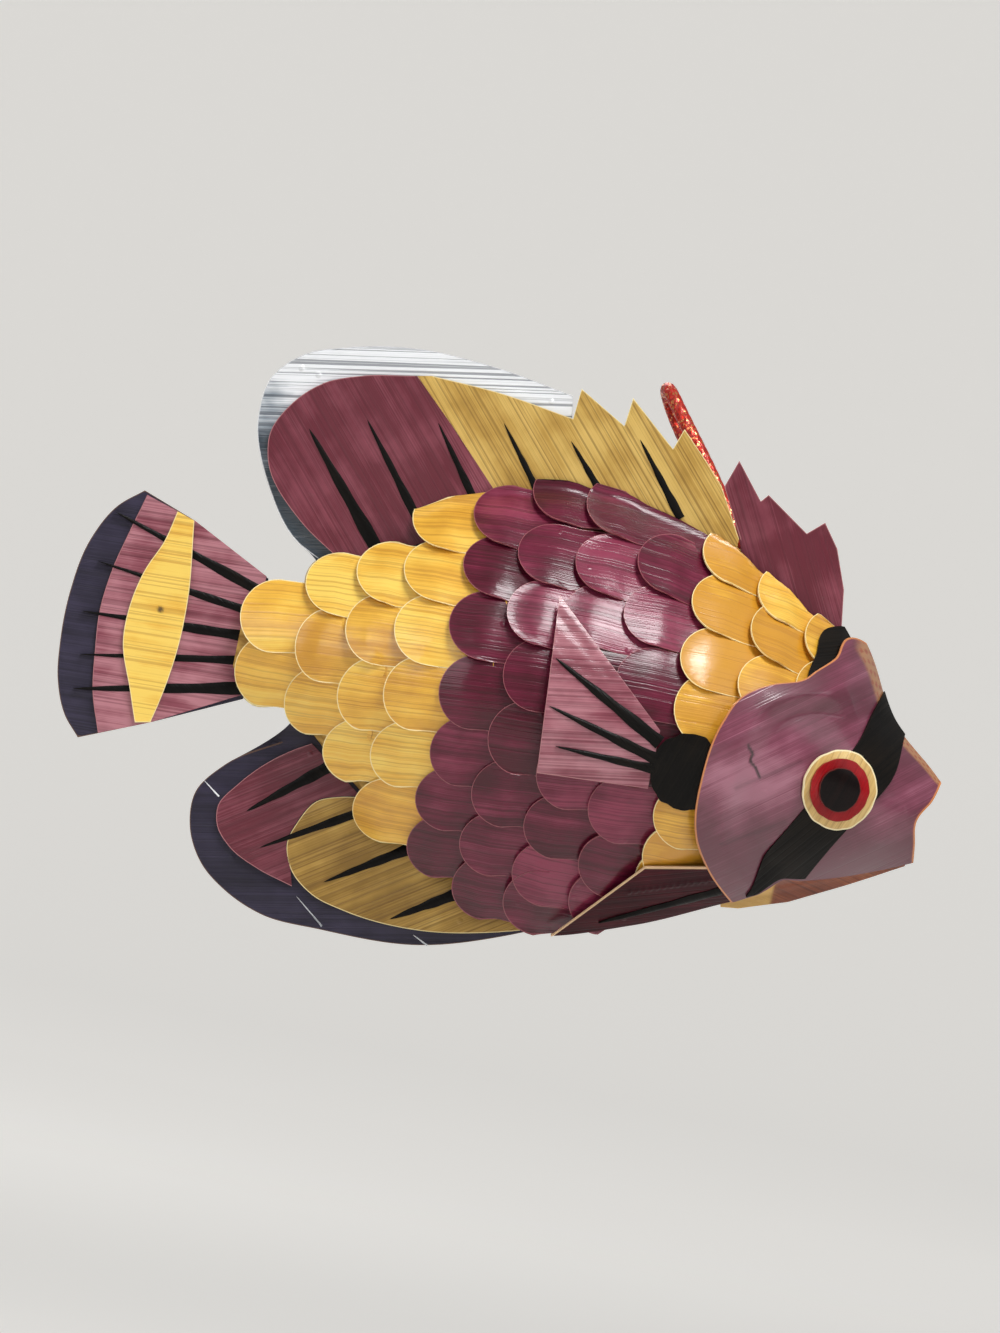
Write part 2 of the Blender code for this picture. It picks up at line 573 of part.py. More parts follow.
def back_fin(core):
    """The back fin: a card let into the core, with a mauve and a yellow facing on each side."""
    first, last = DORSAL_ROOT
    tongue = root_line(over_back, last, first, -TONGUE)
    neck = root_line(over_back, first, first, GAP, 1)
    lobe = over_back(DORSAL_LOBE, DORSAL_HEIGHT)
    teeth = over_back([DORSAL_NOTCH] + DORSAL_TEETH, DORSAL_HEIGHT)
    fin_piece("dorsal_fin_card", [(False, neck), (True, lobe), (False, teeth + tongue)],
              CARD, 0, INDIGO_CARD)
    cut_slot(core, "dorsal_slot", slot_outline(over_back, first, last))

    divide = over_back(DORSAL_DIVIDE, DORSAL_HEIGHT)
    shifted = [(x + DIVIDE_ROOM, z) for x, z in divide]
    rear_edge = over_back(DORSAL_REAR_EDGE, DORSAL_HEIGHT)
    rear_root = root_line(over_back, DORSAL_DIVIDE[-1][0], first, GAP, 6)
    yellow_teeth = over_back(DORSAL_TEETH[::-1], DORSAL_HEIGHT)
    yellow_top = over_back(DORSAL_TOP_EDGE, DORSAL_HEIGHT)
    front_first = DORSAL_DIVIDE[-1][0] + DIVIDE_ROOM / BODY_LENGTH
    front_root = root_line(over_back, front_first, last, GAP, 7)
    for side, side_name in SIDES:
        fin_piece(f"dorsal_rear_facing_{side_name}",
                  [(True, rear_edge), (False, divide + rear_root[1:])],
                  LEAF, side * FACING_Y, MAUVE_LEAF)
        fin_piece(f"dorsal_front_facing_{side_name}",
                  [(False, front_root + yellow_teeth), (True, yellow_top), (False, shifted)],
                  LEAF, side * FACING_Y, YELLOW_LEAF)


def front_back_fin(core):
    """The small saw-toothed fin in front of the back fin."""
    first, last = FRONT_DORSAL_ROOT
    teeth = over_back(FRONT_DORSAL_TEETH, FRONT_DORSAL_HEIGHT)
    base = root_line(over_back, last, last, GAP, 1)
    tongue = root_line(over_back, last, first, -TONGUE)
    neck = root_line(over_back, first, first, GAP, 1)
    fin_piece("front_dorsal_fin", [(False, teeth + base + tongue + neck)], CARD, 0, MAUVE_LEAF)
    cut_slot(core, "front_dorsal_slot", slot_outline(over_back, first, last))


def belly_fin(core):
    """The anal fin: a card let into the belly, with a mauve and a yellow facing on each side."""
    first, last = ANAL_ROOT
    neck = root_line(under_belly, first, first, GAP, 1)
    lobe = under_belly(ANAL_LOBE, ANAL_HEIGHT)
    base = root_line(under_belly, last, last, GAP, 1)
    tongue = root_line(under_belly, last, first, -TONGUE)
    fin_piece("anal_fin_card", [(False, neck), (True, lobe), (False, base + tongue)],
              CARD, 0, INDIGO_CARD)
    cut_slot(core, "anal_slot", slot_outline(under_belly, first, last))

    yellow_edge = under_belly(ANAL_YELLOW_REAR, ANAL_HEIGHT)
    yellow_root = root_line(under_belly, ANAL_YELLOW_REAR[-1][0], ANAL_YELLOW_REAR[0][0], GAP, 7)
    mauve_edge = under_belly(ANAL_MAUVE_REAR, ANAL_HEIGHT)
    room = 2 * DIVIDE_ROOM / BODY_LENGTH
    divide = under_belly([(s - room, h) for s, h in ANAL_YELLOW_REAR[4::-1]], ANAL_HEIGHT)
    mauve_root = root_line(under_belly, ANAL_YELLOW_REAR[0][0] - room, first, GAP, 6)
    for side, side_name in SIDES:
        fin_piece(f"anal_front_facing_{side_name}",
                  [(True, yellow_edge), (False, yellow_root[1:-1])],
                  LEAF, side * FACING_Y, YELLOW_LEAF)
        fin_piece(f"anal_rear_facing_{side_name}",
                  [(True, mauve_edge), (True, divide), (False, mauve_root[1:-1])],
                  LEAF, side * FACING_Y, MAUVE_LEAF)


def tail_fin(core):
    """The tail: a card let into the end of the core, a mauve facing and a yellow spindle."""
    root_x = float(station(TAIL_SEAT))
    back, belly, _ = lines(root_x)
    top, bottom = float(back) - GAP, float(belly) + GAP
    edge_run = behind_root(TAIL_EDGE)
    upper, lower = behind_root([TAIL_UPPER]), behind_root([TAIL_LOWER])
    shoulder = [(root_x - GAP, bottom), (root_x + TONGUE, bottom + TONGUE)]
    shoulder += [(root_x + TONGUE, top - TONGUE), (root_x - GAP, top)]
    fin_piece("tail_fin_card", [(True, edge_run), (False, lower + shoulder + upper)],
              CARD, 0, INDIGO_CARD)
    far, past = root_x + TONGUE + GAP, root_x - TONGUE
    wide_top, wide_bottom = top + TONGUE, bottom - TONGUE
    cut_slot(core, "tail_slot", [(past, wide_bottom), (far, wide_bottom), (far, wide_top),
                                 (past, wide_top)])
    facing = [(True, behind_root(TAIL_FACING_EDGE)),
              (False, lower + behind_root(TAIL_FACING_ROOT) + upper)]
    spindle = [(True, behind_root(SPINDLE_REAR)), (True, behind_root(SPINDLE_FRONT))]
    for side, side_name in SIDES:
        fin_piece(f"tail_facing_{side_name}", facing, LEAF, side * FACING_Y, MAUVE_LEAF)
        fin_piece(f"tail_spindle_{side_name}", spindle, LEAF, side * SPINDLE_Y, YELLOW_LEAF)


def hanging_loop():
    """A loop of cord whose two rounded ends sit on a pad of glue beside the back fin."""
    at = (CORD_STATION, CORD_WAY_DOWN)
    draped_disc("cord_glue_pad", at, PAD_R, OVER_ROWS, LEFT, CLEAR_GLUE, PAD_THICKNESS, segments=16)
    radius = CORD_D / 2
    knot_lift = OVER_ROWS + PAD_THICKNESS + GAP + radius
    knot = flank(0.0, CORD_WAY_DOWN, knot_lift, LEFT)
    normal = knot - flank(0.0, CORD_WAY_DOWN, 0.0, LEFT)
    normal[0] = 0
    normal /= np.linalg.norm(normal)
    forward = np.array([1.0, 0.0, 0.0])
    hinge = np.cross(normal, forward)
    up = math.cos(LOOP_LEAN) * normal - math.sin(LOOP_LEAN) * forward

    straight = LOOP_REACH - LOOP_BEND_R
    share = np.linspace(0, 1, 9)
    widen = LOOP_ROOT_HALF + (LOOP_BEND_R - LOOP_ROOT_HALF) * (3 * share**2 - 2 * share**3)
    bend = np.linspace(0, math.pi, 11)[1:-1]
    reach = np.concatenate([share * straight, straight + LOOP_BEND_R * np.sin(bend),
                            share[::-1] * straight])
    spread = np.concatenate([widen, LOOP_BEND_R * np.cos(bend), -widen[::-1]])
    rounding = np.radians((75, 40))
    drop = -radius * np.sin(rounding)
    reach = np.concatenate([drop, reach, drop[::-1]])
    spread = np.concatenate([np.full(2, LOOP_ROOT_HALF), spread, np.full(2, -LOOP_ROOT_HALF)])
    swell = np.concatenate([np.cos(rounding), np.ones(len(reach) - 4), np.cos(rounding)[::-1]])

    curve = bpy.data.curves.new("hang_loop", "CURVE")
    curve.dimensions = "3D"
    curve.bevel_depth = radius
    curve.bevel_resolution = 2
    curve.use_fill_caps = True
    spline = curve.splines.new("POLY")
    spline.points.add(len(reach) - 1)
    for point, along, aside, size in zip(spline.points, reach, spread, swell):
        point.co = (*(up * along + hinge * aside), 1)
        point.radius = size
    loop = bpy.data.objects.new("hang_loop", curve)
    loop.location = Vector(knot)
    add_part(loop, CORD_THREAD)
    print("loop hinge at", np.round(knot, 6).tolist(), "along", np.round(hinge, 6).tolist())


def build_fish():
    """Make every piece, from the core outwards."""
    core = body_core()
    back_fin(core)
    front_back_fin(core)
    belly_fin(core)
    tail_fin(core)
    for side, side_name in SIDES:
        for rank in range(len(SCALE_ROWS)):
            scale_row(rank, side, side_name)
        head_cover(side, side_name)
        nape_patch(side, side_name)
        eye_band(side, side_name)
        eye(side, side_name)
        draped_disc(f"gill_disc_{side_name}", GILL_DISC_AT, GILL_DISC_R, OVER_ROWS, side, BLACK_LEAF)
        pectoral_fin(side, side_name)
        pelvic_fin(side, side_name)
    chin_strip()
    hanging_loop()
    print("pieces:", len(PARTS.objects))


build_fish()
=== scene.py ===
# %% [markdown]
# # A palm-leaf fish, dressed leaf by leaf
# The ornament is a light core covered with dyed, lacquered palm leaf: lapped rows of round-ended
# scales, a plum head, stacked paper eyes, flat fins with black rays and a loop of glittering cord.
# The frame brings in the plain solids at their real size. This script lays a finer leaf over each.

# %% Load the frame
import math

import bpy
import numpy as np
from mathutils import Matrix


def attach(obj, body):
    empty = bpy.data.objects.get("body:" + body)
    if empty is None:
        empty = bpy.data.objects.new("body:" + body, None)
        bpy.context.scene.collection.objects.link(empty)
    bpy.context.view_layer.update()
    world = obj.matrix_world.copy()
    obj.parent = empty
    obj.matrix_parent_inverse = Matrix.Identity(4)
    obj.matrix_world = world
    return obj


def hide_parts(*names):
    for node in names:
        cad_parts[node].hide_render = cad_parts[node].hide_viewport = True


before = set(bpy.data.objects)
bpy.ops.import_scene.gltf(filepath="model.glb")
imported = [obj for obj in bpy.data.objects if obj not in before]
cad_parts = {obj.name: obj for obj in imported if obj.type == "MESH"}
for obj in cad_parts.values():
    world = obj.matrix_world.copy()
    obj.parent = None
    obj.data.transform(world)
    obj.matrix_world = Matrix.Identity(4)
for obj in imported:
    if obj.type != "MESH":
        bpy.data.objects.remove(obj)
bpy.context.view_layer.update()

MM = 0.001
RIGHT, LEFT = -1, 1
SIDES = ((RIGHT, "right"), (LEFT, "left"))
dice = np.random.default_rng(12)

# %% [markdown]
# ## The body as a surface
# Every leaf lies on one swelling form. A sculpted mesh could hold it, but a formula lets any leaf
# ask for a point of the surface and for the way out of it. Here the form is a lens: a parabola
# from back to belly at each station, whose back, belly and width follow faired tables.

# %% Body lines
BODY_LENGTH = 0.121
BODY_DEPTH = 0.0745
BODY_WIDTH = 0.046
CORD_STATION = 0.6612
TAIL_ROOT_X = -CORD_STATION * BODY_LENGTH
BODY_AXIS_Z = -0.0345
BODY_LINES = np.array([
    (0.000, 0.152, 0.100, 0.15), (0.083, 0.215, 0.160, 0.33), (0.165, 0.303, 0.268, 0.57),
    (0.289, 0.440, 0.402, 0.86), (0.455, 0.505, 0.495, 1.00), (0.620, 0.460, 0.423, 0.98),
    (0.760, 0.352, 0.315, 0.83), (0.843, 0.275, 0.259, 0.68), (0.917, 0.138, 0.208, 0.48),
    (0.967, 0.067, 0.168, 0.27), (1.000, 0.025, 0.143, 0.09),
])
WIDEST = 0.455


def faired(table, at):
    """Cubic curve through a table: the first column is the parameter, the others the values.
    Each span is a Hermite cubic whose end slopes are the table's own central differences."""
    knots, values = table[:, 0], table[:, 1:]
    slopes = np.gradient(values, knots, axis=0)
    at = np.clip(np.asarray(at, float), knots[0], knots[-1])
    left = np.clip(np.searchsorted(knots, at) - 1, 0, len(knots) - 2)
    span = (knots[left + 1] - knots[left])[..., None]
    u = (at - knots[left])[..., None] / span
    return (values[left] * (2 * u**3 - 3 * u**2 + 1) + values[left + 1] * (3 * u**2 - 2 * u**3)
            + slopes[left] * span * (u**3 - 2 * u**2 + u) + slopes[left + 1] * span * (u**3 - u**2))


def station(share):
    """X of a share of the body's length, from the tail root."""
    return TAIL_ROOT_X + np.asarray(share, float) * BODY_LENGTH


def lines(x):
    """Back height, belly height and half width at x."""
    value = faired(BODY_LINES, (np.asarray(x, float) - TAIL_ROOT_X) / BODY_LENGTH)
    back = BODY_AXIS_Z + value[..., 0] * BODY_DEPTH
    belly = BODY_AXIS_Z - value[..., 1] * BODY_DEPTH
    return back, belly, value[..., 2] * BODY_WIDTH / 2


print("body", round(float(lines(station(WIDEST))[2] * 2 / MM), 1), "mm wide at its widest")

# %% Points on the flank
SLOPE_STEP = 1e-4
EDGE_SHARES = (-0.2, 0.24)
SEEN_ROUNDS = 4


def left_flank(x, down):
    """A point of the left side: straight from back to belly in Z, a parabola in Y."""
    back, belly, half = lines(x)
    return np.stack(np.broadcast_arrays(x, 4 * half * down * (1 - down), back + (belly - back) * down), -1)


def outward(x, down):
    """The left side's unit normal: the cross product of its two directions."""
    step = SLOPE_STEP * BODY_LENGTH
    along = left_flank(x + step, down) - left_flank(x - step, down)
    across = left_flank(x, down + SLOPE_STEP) - left_flank(x, down - SLOPE_STEP)
    normal = np.cross(along, across)
    return normal / np.linalg.norm(normal, axis=-1, keepdims=True)


def flank(x, down, lift, side):
    """A point this far off the surface, along its normal, on either side."""
    x, down, lift = (np.array(v, float) for v in np.broadcast_arrays(x, down, lift))
    point = left_flank(x, down) + lift[..., None] * outward(x, down)
    point[..., 1] *= side
    return point


def edge(x, clear, lift, end):
    """How far from the back (end 0) or the belly (end 1) a lifted leaf clears the middle plane."""
    half = lines(x)[2]
    lean = outward(x, np.full(np.shape(x), float(end)))[..., 1]
    share = np.clip((clear - lift * lean) / (4 * half), *EDGE_SHARES)
    return (1 - np.sqrt(1 - 4 * share)) / 2


def down_at(x, z):
    """How far down the flank a height is, as a share of the way from back to belly."""
    back, belly, _ = lines(x)
    return (back - z) / (back - belly)


def seen_at(x, z, lift):
    """The place on the surface whose lifted point shows at this x and z from the side.
    Each round moves the place by what is still missing."""
    x, z, lift = np.broadcast_arrays(x, z, lift)
    at_x, down = x, down_at(x, z)
    for _ in range(SEEN_ROUNDS):
        point = flank(at_x, down, lift, LEFT)
        back, belly, _ = lines(at_x)
        at_x, down = at_x + x - point[..., 0], down + (point[..., 2] - z) / (back - belly)
    return at_x, down


print("right flank below the cord at", (flank(0.0, 0.5, 0.0, RIGHT) / MM).round(1), "mm")

# %% [markdown]
# ## The camera
# The picture is taken square to the fish's right side, turned so that the fish dives a little.
# A long lens far away keeps the near flank in proportion with the fins. The camera's three axes
# are written straight into its matrix, since the turn is only a roll about the line of sight.

# %% Camera
ROLL = math.radians(12)
VIEW_CENTRE = np.array((-35.7, 0.0, -28.5)) * MM
VIEW_HEIGHT = 0.2249
CAMERA_DISTANCE = 2.0
SENSOR = 36.0


def add_camera():
    """A level camera looking along +Y, rolled about its axis; the lens covers the view's height."""
    data = bpy.data.cameras.new("camera")
    data.sensor_width = SENSOR
    data.lens = SENSOR * CAMERA_DISTANCE / VIEW_HEIGHT
    camera = bpy.data.objects.new("camera", data)
    right = (math.cos(ROLL), 0, math.sin(ROLL))
    up = (-math.sin(ROLL), 0, math.cos(ROLL))
    place = VIEW_CENTRE - np.array((0, CAMERA_DISTANCE, 0))
    camera.matrix_world = np.array([(*right, 0), (*up, 0), (0, -1, 0, 0), (*place, 1)]).tolist()
    bpy.context.scene.collection.objects.link(camera)
    bpy.context.scene.camera = camera
    return data.lens


print("lens", round(add_camera(), 1), "mm")

# %% [markdown]
# ## From grids to leaves
# A leaf is thin but it has two faces and a cut rim, so each one is two grids of points closed by
# a strip. Solidify could thicken a single grid, but giving both grids lets a leaf taper. Each
# leaf also carries its own marks: a UV map in metres along and across the fibres, the distance
# from its cut edge, and a tone, so that one finish can look different on every leaf.

# %% Leaf faces
def leaf_quads(count, rows, columns):
    """Faces of closed leaves: the outer grid, the inner grid turned over, and a strip between."""
    place = np.arange(rows * columns).reshape(rows, columns)
    outer = np.stack([place[:-1, :-1], place[:-1, 1:], place[1:, 1:], place[1:, :-1]], -1).reshape(-1, 4)
    rim = np.concatenate([place[0, :-1], place[:-1, -1], place[-1, :0:-1], place[:0:-1, 0]])
    after = np.roll(rim, -1)
    inner = rows * columns
    strip = np.stack([after, rim, rim + inner, after + inner], -1)
    leaf = np.concatenate([outer, outer[:, ::-1] + inner, strip])
    return (leaf[None] + 2 * inner * np.arange(count)[:, None, None]).reshape(-1, 4)


print("a leaf of 3 by 3 points has", len(leaf_quads(1, 3, 3)), "faces")

# %% Leaf pieces
SMOOTH_ANGLE = math.radians(50)


def leaf_piece(name, inner, outer, finish, grain, inset=1.0, tone=0.0, body="fish", stands_for=(),
               slot=None, **marks):
    """One object of closed leaves between an inner and an outer grid, or stacks of such grids.
    Grids that would face inwards are mirrored in their columns before the faces are made."""
    shape = (1,) * (4 - outer.ndim) + outer.shape
    inner, outer = inner.reshape(shape), outer.reshape(shape)
    marks = {"inset": inset, "tone": tone, **marks}
    fields = {word: np.broadcast_to(value, shape[:3]) for word, value in marks.items()}
    grain = np.broadcast_to(grain, (*shape[:3], 2))
    turn = np.cross(np.diff(outer, axis=2)[:, :-1], np.diff(outer, axis=1)[:, :, :-1])
    if np.sum(turn * (outer - inner)[:, :-1, :-1]) < 0:
        inner, outer, grain = inner[:, :, ::-1], outer[:, :, ::-1], grain[:, :, ::-1]
        fields = {word: value[:, :, ::-1] for word, value in fields.items()}
    quads = leaf_quads(*shape[:3])
    mesh = bpy.data.meshes.new(name)
    mesh.from_pydata(np.stack([outer, inner], 1).reshape(-1, 3).tolist(), [], quads.tolist())
    both = np.stack([grain, grain], 1).reshape(-1, 2)
    mesh.uv_layers.new(name="grain").data.foreach_set("uv", both[quads.ravel()].astype(np.float32).ravel())
    for word, value in fields.items():
        layer = mesh.attributes.new(word, "FLOAT", "POINT")
        layer.data.foreach_set("value", np.stack([value, value], 1).astype(np.float32).ravel())
    mesh.shade_smooth()
    mesh.set_sharp_from_angle(angle=SMOOTH_ANGLE)
    dress(bpy.data.objects.new(name, mesh), finish, body, stands_for)


def dress(piece, finish, body, stands_for):
    """Link a piece, give it its finish, and tell the frame what carries it and what it replaces."""
    bpy.context.scene.collection.objects.link(piece)
    piece.data.materials.append(finish)
    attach(piece, body)
    if stands_for:
        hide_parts(*stands_for)
    return piece


def turned(u, v, angle):
    """Grain coordinates: a place on the leaf turned so that u runs along the fibres."""
    u, v = np.broadcast_arrays(u, v)
    cosine, sine = math.cos(angle), math.sin(angle)
    return np.stack([u * cosine + v * sine, v * cosine - u * sine], -1)


print("leaf edges stay sharp past", round(math.degrees(SMOOTH_ANGLE)), "degrees")

# %% [markdown]
# ## Lacquered leaf
# Dyed palm leaf shows long dark veins, fine fibres, uneven dye and a pale cut rim, all under a
# thin clear lacquer with bubbles in it. An image could carry this, but noise stretched along the
# leaf's own UV gives fibres that follow every leaf. The shader's coat layer is the lacquer.

# %% Dyes and nodes
def dye(red, green, blue):
    """A colour given as on a screen, 0 to 255, turned to linear light."""
    share = np.array((red, green, blue)) / 255
    linear = np.where(share < 0.04045, share / 12.92, ((share + 0.055) / 1.055) ** 2.4)
    return (*linear.tolist(), 1.0)


def add(tree, kind, inputs=None, **settings):
    """A node with its settings; an input given as a socket is linked, anything else is its value."""
    node = tree.nodes.new(kind)
    for word, value in settings.items():
        setattr(node, word, value)
    for word, value in (inputs or {}).items():
        if isinstance(value, bpy.types.NodeSocket):
            tree.links.new(value, node.inputs[word])
        else:
            node.inputs[word].default_value = value
    return node


def blank_finish(name):
    """A new node material: its tree and its Principled shader."""
    material = bpy.data.materials.new(name + "_finish")
    material.use_nodes = True
    return material, material.node_tree, material.node_tree.nodes["Principled BSDF"]


def streaks(tree, along, across, detail=2.0):
    """Noise drawn out along the fibres: the leaf's UV, scaled unlike in its two directions."""
    uv = add(tree, "ShaderNodeUVMap", uv_map="grain").outputs[0]
    place = add(tree, "ShaderNodeMapping", {"Vector": uv, "Scale": (along, across, 1)}).outputs[0]
    return add(tree, "ShaderNodeTexNoise", {"Vector": place, "Scale": 1.0, "Detail": detail},
               noise_dimensions="2D").outputs[0]


def math_node(tree, operation, first, second):
    """One sum, product or maximum of two values."""
    return add(tree, "ShaderNodeMath", {0: first, 1: second}, operation=operation).outputs[0]


def ramp(tree, value, start, stop, low=0.0, high=1.0):
    """A smooth step from low to high while value goes from start to stop."""
    return add(tree, "ShaderNodeMapRange", {0: value, 1: start, 2: stop, 3: low, 4: high},
               interpolation_type="SMOOTHSTEP").outputs[0]


def mixed(tree, share, first, second):
    """One colour turning into another."""
    return add(tree, "ShaderNodeMix", {0: share, 6: first, 7: second}, data_type="RGBA").outputs[2]


def mark(tree, word):
    """A number that the leaf carries at each point."""
    return add(tree, "ShaderNodeAttribute", attribute_name=word).outputs["Fac"]


def weighted(tree, *terms):
    """The sum of values, each times its weight."""
    parts = [math_node(tree, "MULTIPLY", value, weight) for value, weight in terms]
    total = parts[0]
    for part in parts[1:]:
        total = math_node(tree, "ADD", total, part)
    return total


print("a screen value of 128 is", round(dye(128, 128, 128)[0], 3), "in linear light")

# %% Leaf finish
BAND_SCALE, HAIR_SCALE = (9, 480), (12, 5000)
VEIN_SCALE, BLOTCH_SCALE = (5, 2100), (110, 150)
BAND_SHARE, BLOTCH_SHARE, HAIR_SHARE = 0.30, 0.45, 0.25
SHADE_STOPS = (0.32, 0.50, 0.68)
VEIN_STOPS = (0.47, 0.36)
RIM_START = 0.6
BUBBLE_SCALE = 330
BUBBLE_EDGE, BUBBLE_TOP = 0.22, 0.05
BLOTCH_RISE, HAIR_RISE, VEIN_RISE = 0.8, 0.25, -0.22
RELIEF_DEPTH = 0.0003
ROUGH_SWING = 0.08
LACQUER_ROUGH = 0.14


def bubbles(tree, rare):
    """Lacquer bubbles: round bumps at the middle of a few cells of a Voronoi pattern."""
    place = add(tree, "ShaderNodeTexCoord").outputs["Object"]
    cells = add(tree, "ShaderNodeTexVoronoi", {"Vector": place, "Scale": BUBBLE_SCALE})
    chosen = add(tree, "ShaderNodeSeparateColor", {0: cells.outputs["Color"]}).outputs[0]
    return math_node(tree, "MULTIPLY", ramp(tree, cells.outputs["Distance"], BUBBLE_EDGE, BUBBLE_TOP),
                     ramp(tree, chosen, rare, rare + 0.02))


def leaf_finish(name, shades, vein, rim, rim_width=0.17, vein_depth=0.4, coat=0.6, rough=0.36,
                relief=0.35, rare=0.86, tone_swing=0.16, specular=0.5, stains=()):
    """Dye from three shades by bands, blotches and the leaf's tone; straight dark veins; a pale rim.
    The bump adds veins, fibres and bubbles. Stains are attributes that bring in another colour.
    All colours are given as on a screen."""
    material, tree, shader = blank_finish(name)
    bands, blotch = streaks(tree, *BAND_SCALE), streaks(tree, *BLOTCH_SCALE, 3.0)
    hair, vein_noise = streaks(tree, *HAIR_SCALE, 1.0), streaks(tree, *VEIN_SCALE, 1.0)
    level = weighted(tree, (bands, BAND_SHARE), (blotch, BLOTCH_SHARE), (hair, HAIR_SHARE),
                     (mark(tree, "tone"), tone_swing))
    stops = add(tree, "ShaderNodeValToRGB", {0: level})
    ladder = stops.color_ramp.elements
    ladder[0].position, ladder[0].color = SHADE_STOPS[0], dye(*shades[0])
    ladder[1].position, ladder[1].color = SHADE_STOPS[2], dye(*shades[2])
    ladder.new(SHADE_STOPS[1]).color = dye(*shades[1])
    veins = ramp(tree, vein_noise, *VEIN_STOPS)
    colour = mixed(tree, math_node(tree, "MULTIPLY", veins, vein_depth), stops.outputs[0], dye(*vein))
    for word, shade in stains:
        colour = mixed(tree, mark(tree, word), colour, dye(*shade))
    cut = ramp(tree, mark(tree, "inset"), RIM_START * rim_width * MM, rim_width * MM, 1.0, 0.0)
    colour = mixed(tree, cut, colour, dye(*rim))
    height = weighted(tree, (blotch, BLOTCH_RISE), (hair, HAIR_RISE), (veins, VEIN_RISE),
                      (bubbles(tree, rare), 1.0))
    bump = add(tree, "ShaderNodeBump", {"Strength": relief, "Distance": RELIEF_DEPTH, "Height": height})
    roughness = ramp(tree, bands, 0.2, 0.8, rough + ROUGH_SWING, rough - ROUGH_SWING)
    tree.links.new(colour, shader.inputs["Base Color"])
    tree.links.new(roughness, shader.inputs["Roughness"])
    tree.links.new(bump.outputs[0], shader.inputs["Normal"])
    tree.links.new(bump.outputs[0], shader.inputs["Coat Normal"])
    shader.inputs["Coat Weight"].default_value = coat
    shader.inputs["Coat Roughness"].default_value = LACQUER_ROUGH
    shader.inputs["Specular IOR Level"].default_value = specular
    return material


print("leaf finish: bands, blotches, fibres, veins, a pale rim and bubbles")

# %% Dyed leaves
YELLOW_LEAF = leaf_finish("yellow_leaf", ((212, 150, 42), (242, 186, 64), (255, 216, 100)),
                          (186, 124, 34), (252, 230, 166), rare=0.92,
                          stains=(("knot", (96, 72, 30)),))
MAUVE_LEAF = leaf_finish("mauve_leaf", ((72, 9, 27), (103, 21, 49), (142, 54, 80)),
                         (54, 5, 15), (152, 82, 90), rim_width=0.13, vein_depth=0.35, specular=0.22)
ROSE_LEAF = leaf_finish("rose_leaf", ((102, 34, 48), (138, 68, 82), (186, 124, 134)),
                        (84, 26, 38), (176, 116, 120), rim_width=0.15, vein_depth=0.35, specular=0.35)
HEAD_LEAF = leaf_finish("head_leaf", ((98, 34, 54), (128, 60, 82), (168, 104, 124)),
                        (84, 30, 48), (206, 128, 72), vein_depth=0.08, rim_width=0.35, relief=0.2, coat=0.8,
                        stains=(("worn", (172, 122, 82)), ("russet", (150, 56, 32)),
                                ("crack", (52, 22, 30))))
RUSSET_LEAF = leaf_finish("russet_leaf", ((112, 50, 26), (146, 72, 38), (180, 108, 62)),
                          (92, 40, 20), (196, 120, 70), stains=(("straw", (222, 178, 100)),))
# Belly flap: partly a darker leaf, partly painted shade, since the flap faces downward.
SHADED_PLUM_FLAP = leaf_finish("shaded_plum_flap", ((38, 2, 10), (56, 7, 17), (80, 17, 29)),
                        (30, 3, 8), (226, 190, 150), rim_width=0.4, coat=0.1, specular=0.12)
STRAW_LEAF = leaf_finish("straw_leaf", ((150, 114, 46), (190, 150, 70), (220, 184, 102)),
                         (120, 86, 34), (240, 220, 160), vein_depth=0.5, coat=0.4, specular=0.35)
INDIGO_CARD = leaf_finish("indigo_card", ((28, 23, 38), (39, 34, 53), (55, 49, 71)),
                          (24, 19, 32), (104, 78, 66), vein_depth=0.3, coat=0.25, rough=0.5, specular=0.3)
# Painted reflection: the card's colour runs from dark slate to near white, standing in for the lacquer's
# silvery highlight; the belly fin's painted glints use it too.
PAINTED_SHEEN_CARD = leaf_finish("painted_sheen_card", ((40, 54, 66), (140, 150, 160), (242, 244, 247)),
                          (58, 66, 78), (214, 216, 220), vein_depth=0.65, coat=1.0, rough=0.3,
                          relief=0.6, tone_swing=0.30)
BLACK_LEAF = leaf_finish("black_leaf", ((6, 4, 3), (11, 8, 6), (24, 18, 12)),
                         (3, 2, 1), (24, 18, 13), rim_width=0.1, coat=0.06, rough=0.5, specular=0.12)
print("finishes:", [m.name.removesuffix("_finish") for m in bpy.data.materials if m.name.endswith("_finish")])

# %% [markdown]
# ## The hanging cord
# A loop of red metallic braid is glued to the left of the back fin, leaning towards the tail. A
# beveled curve would give a plain tube, so the braid is a profile carried along the loop's path:
# two sets of strands wind opposite ways, and whichever stands higher at a point shows.

# %% Cord sizes and thread
CORD_D = 0.0025
LOOP_REACH = 0.037
LOOP_BEND_R = 0.0052
LOOP_ROOT_HALF = 0.0016
LOOP_LEAN = math.radians(30)
LOOP_TWIST = math.radians(16)
CORD_WAY_DOWN = 0.05
PAD_R = 0.0042
GLUE_SEAT, GLUE_THICK, CORD_ROOM = 0.0018, 0.0006, 0.0003
KNOT_LIFT = GLUE_SEAT + GLUE_THICK + CORD_ROOM + CORD_D / 2
SPARK_SCALE = 2600.0


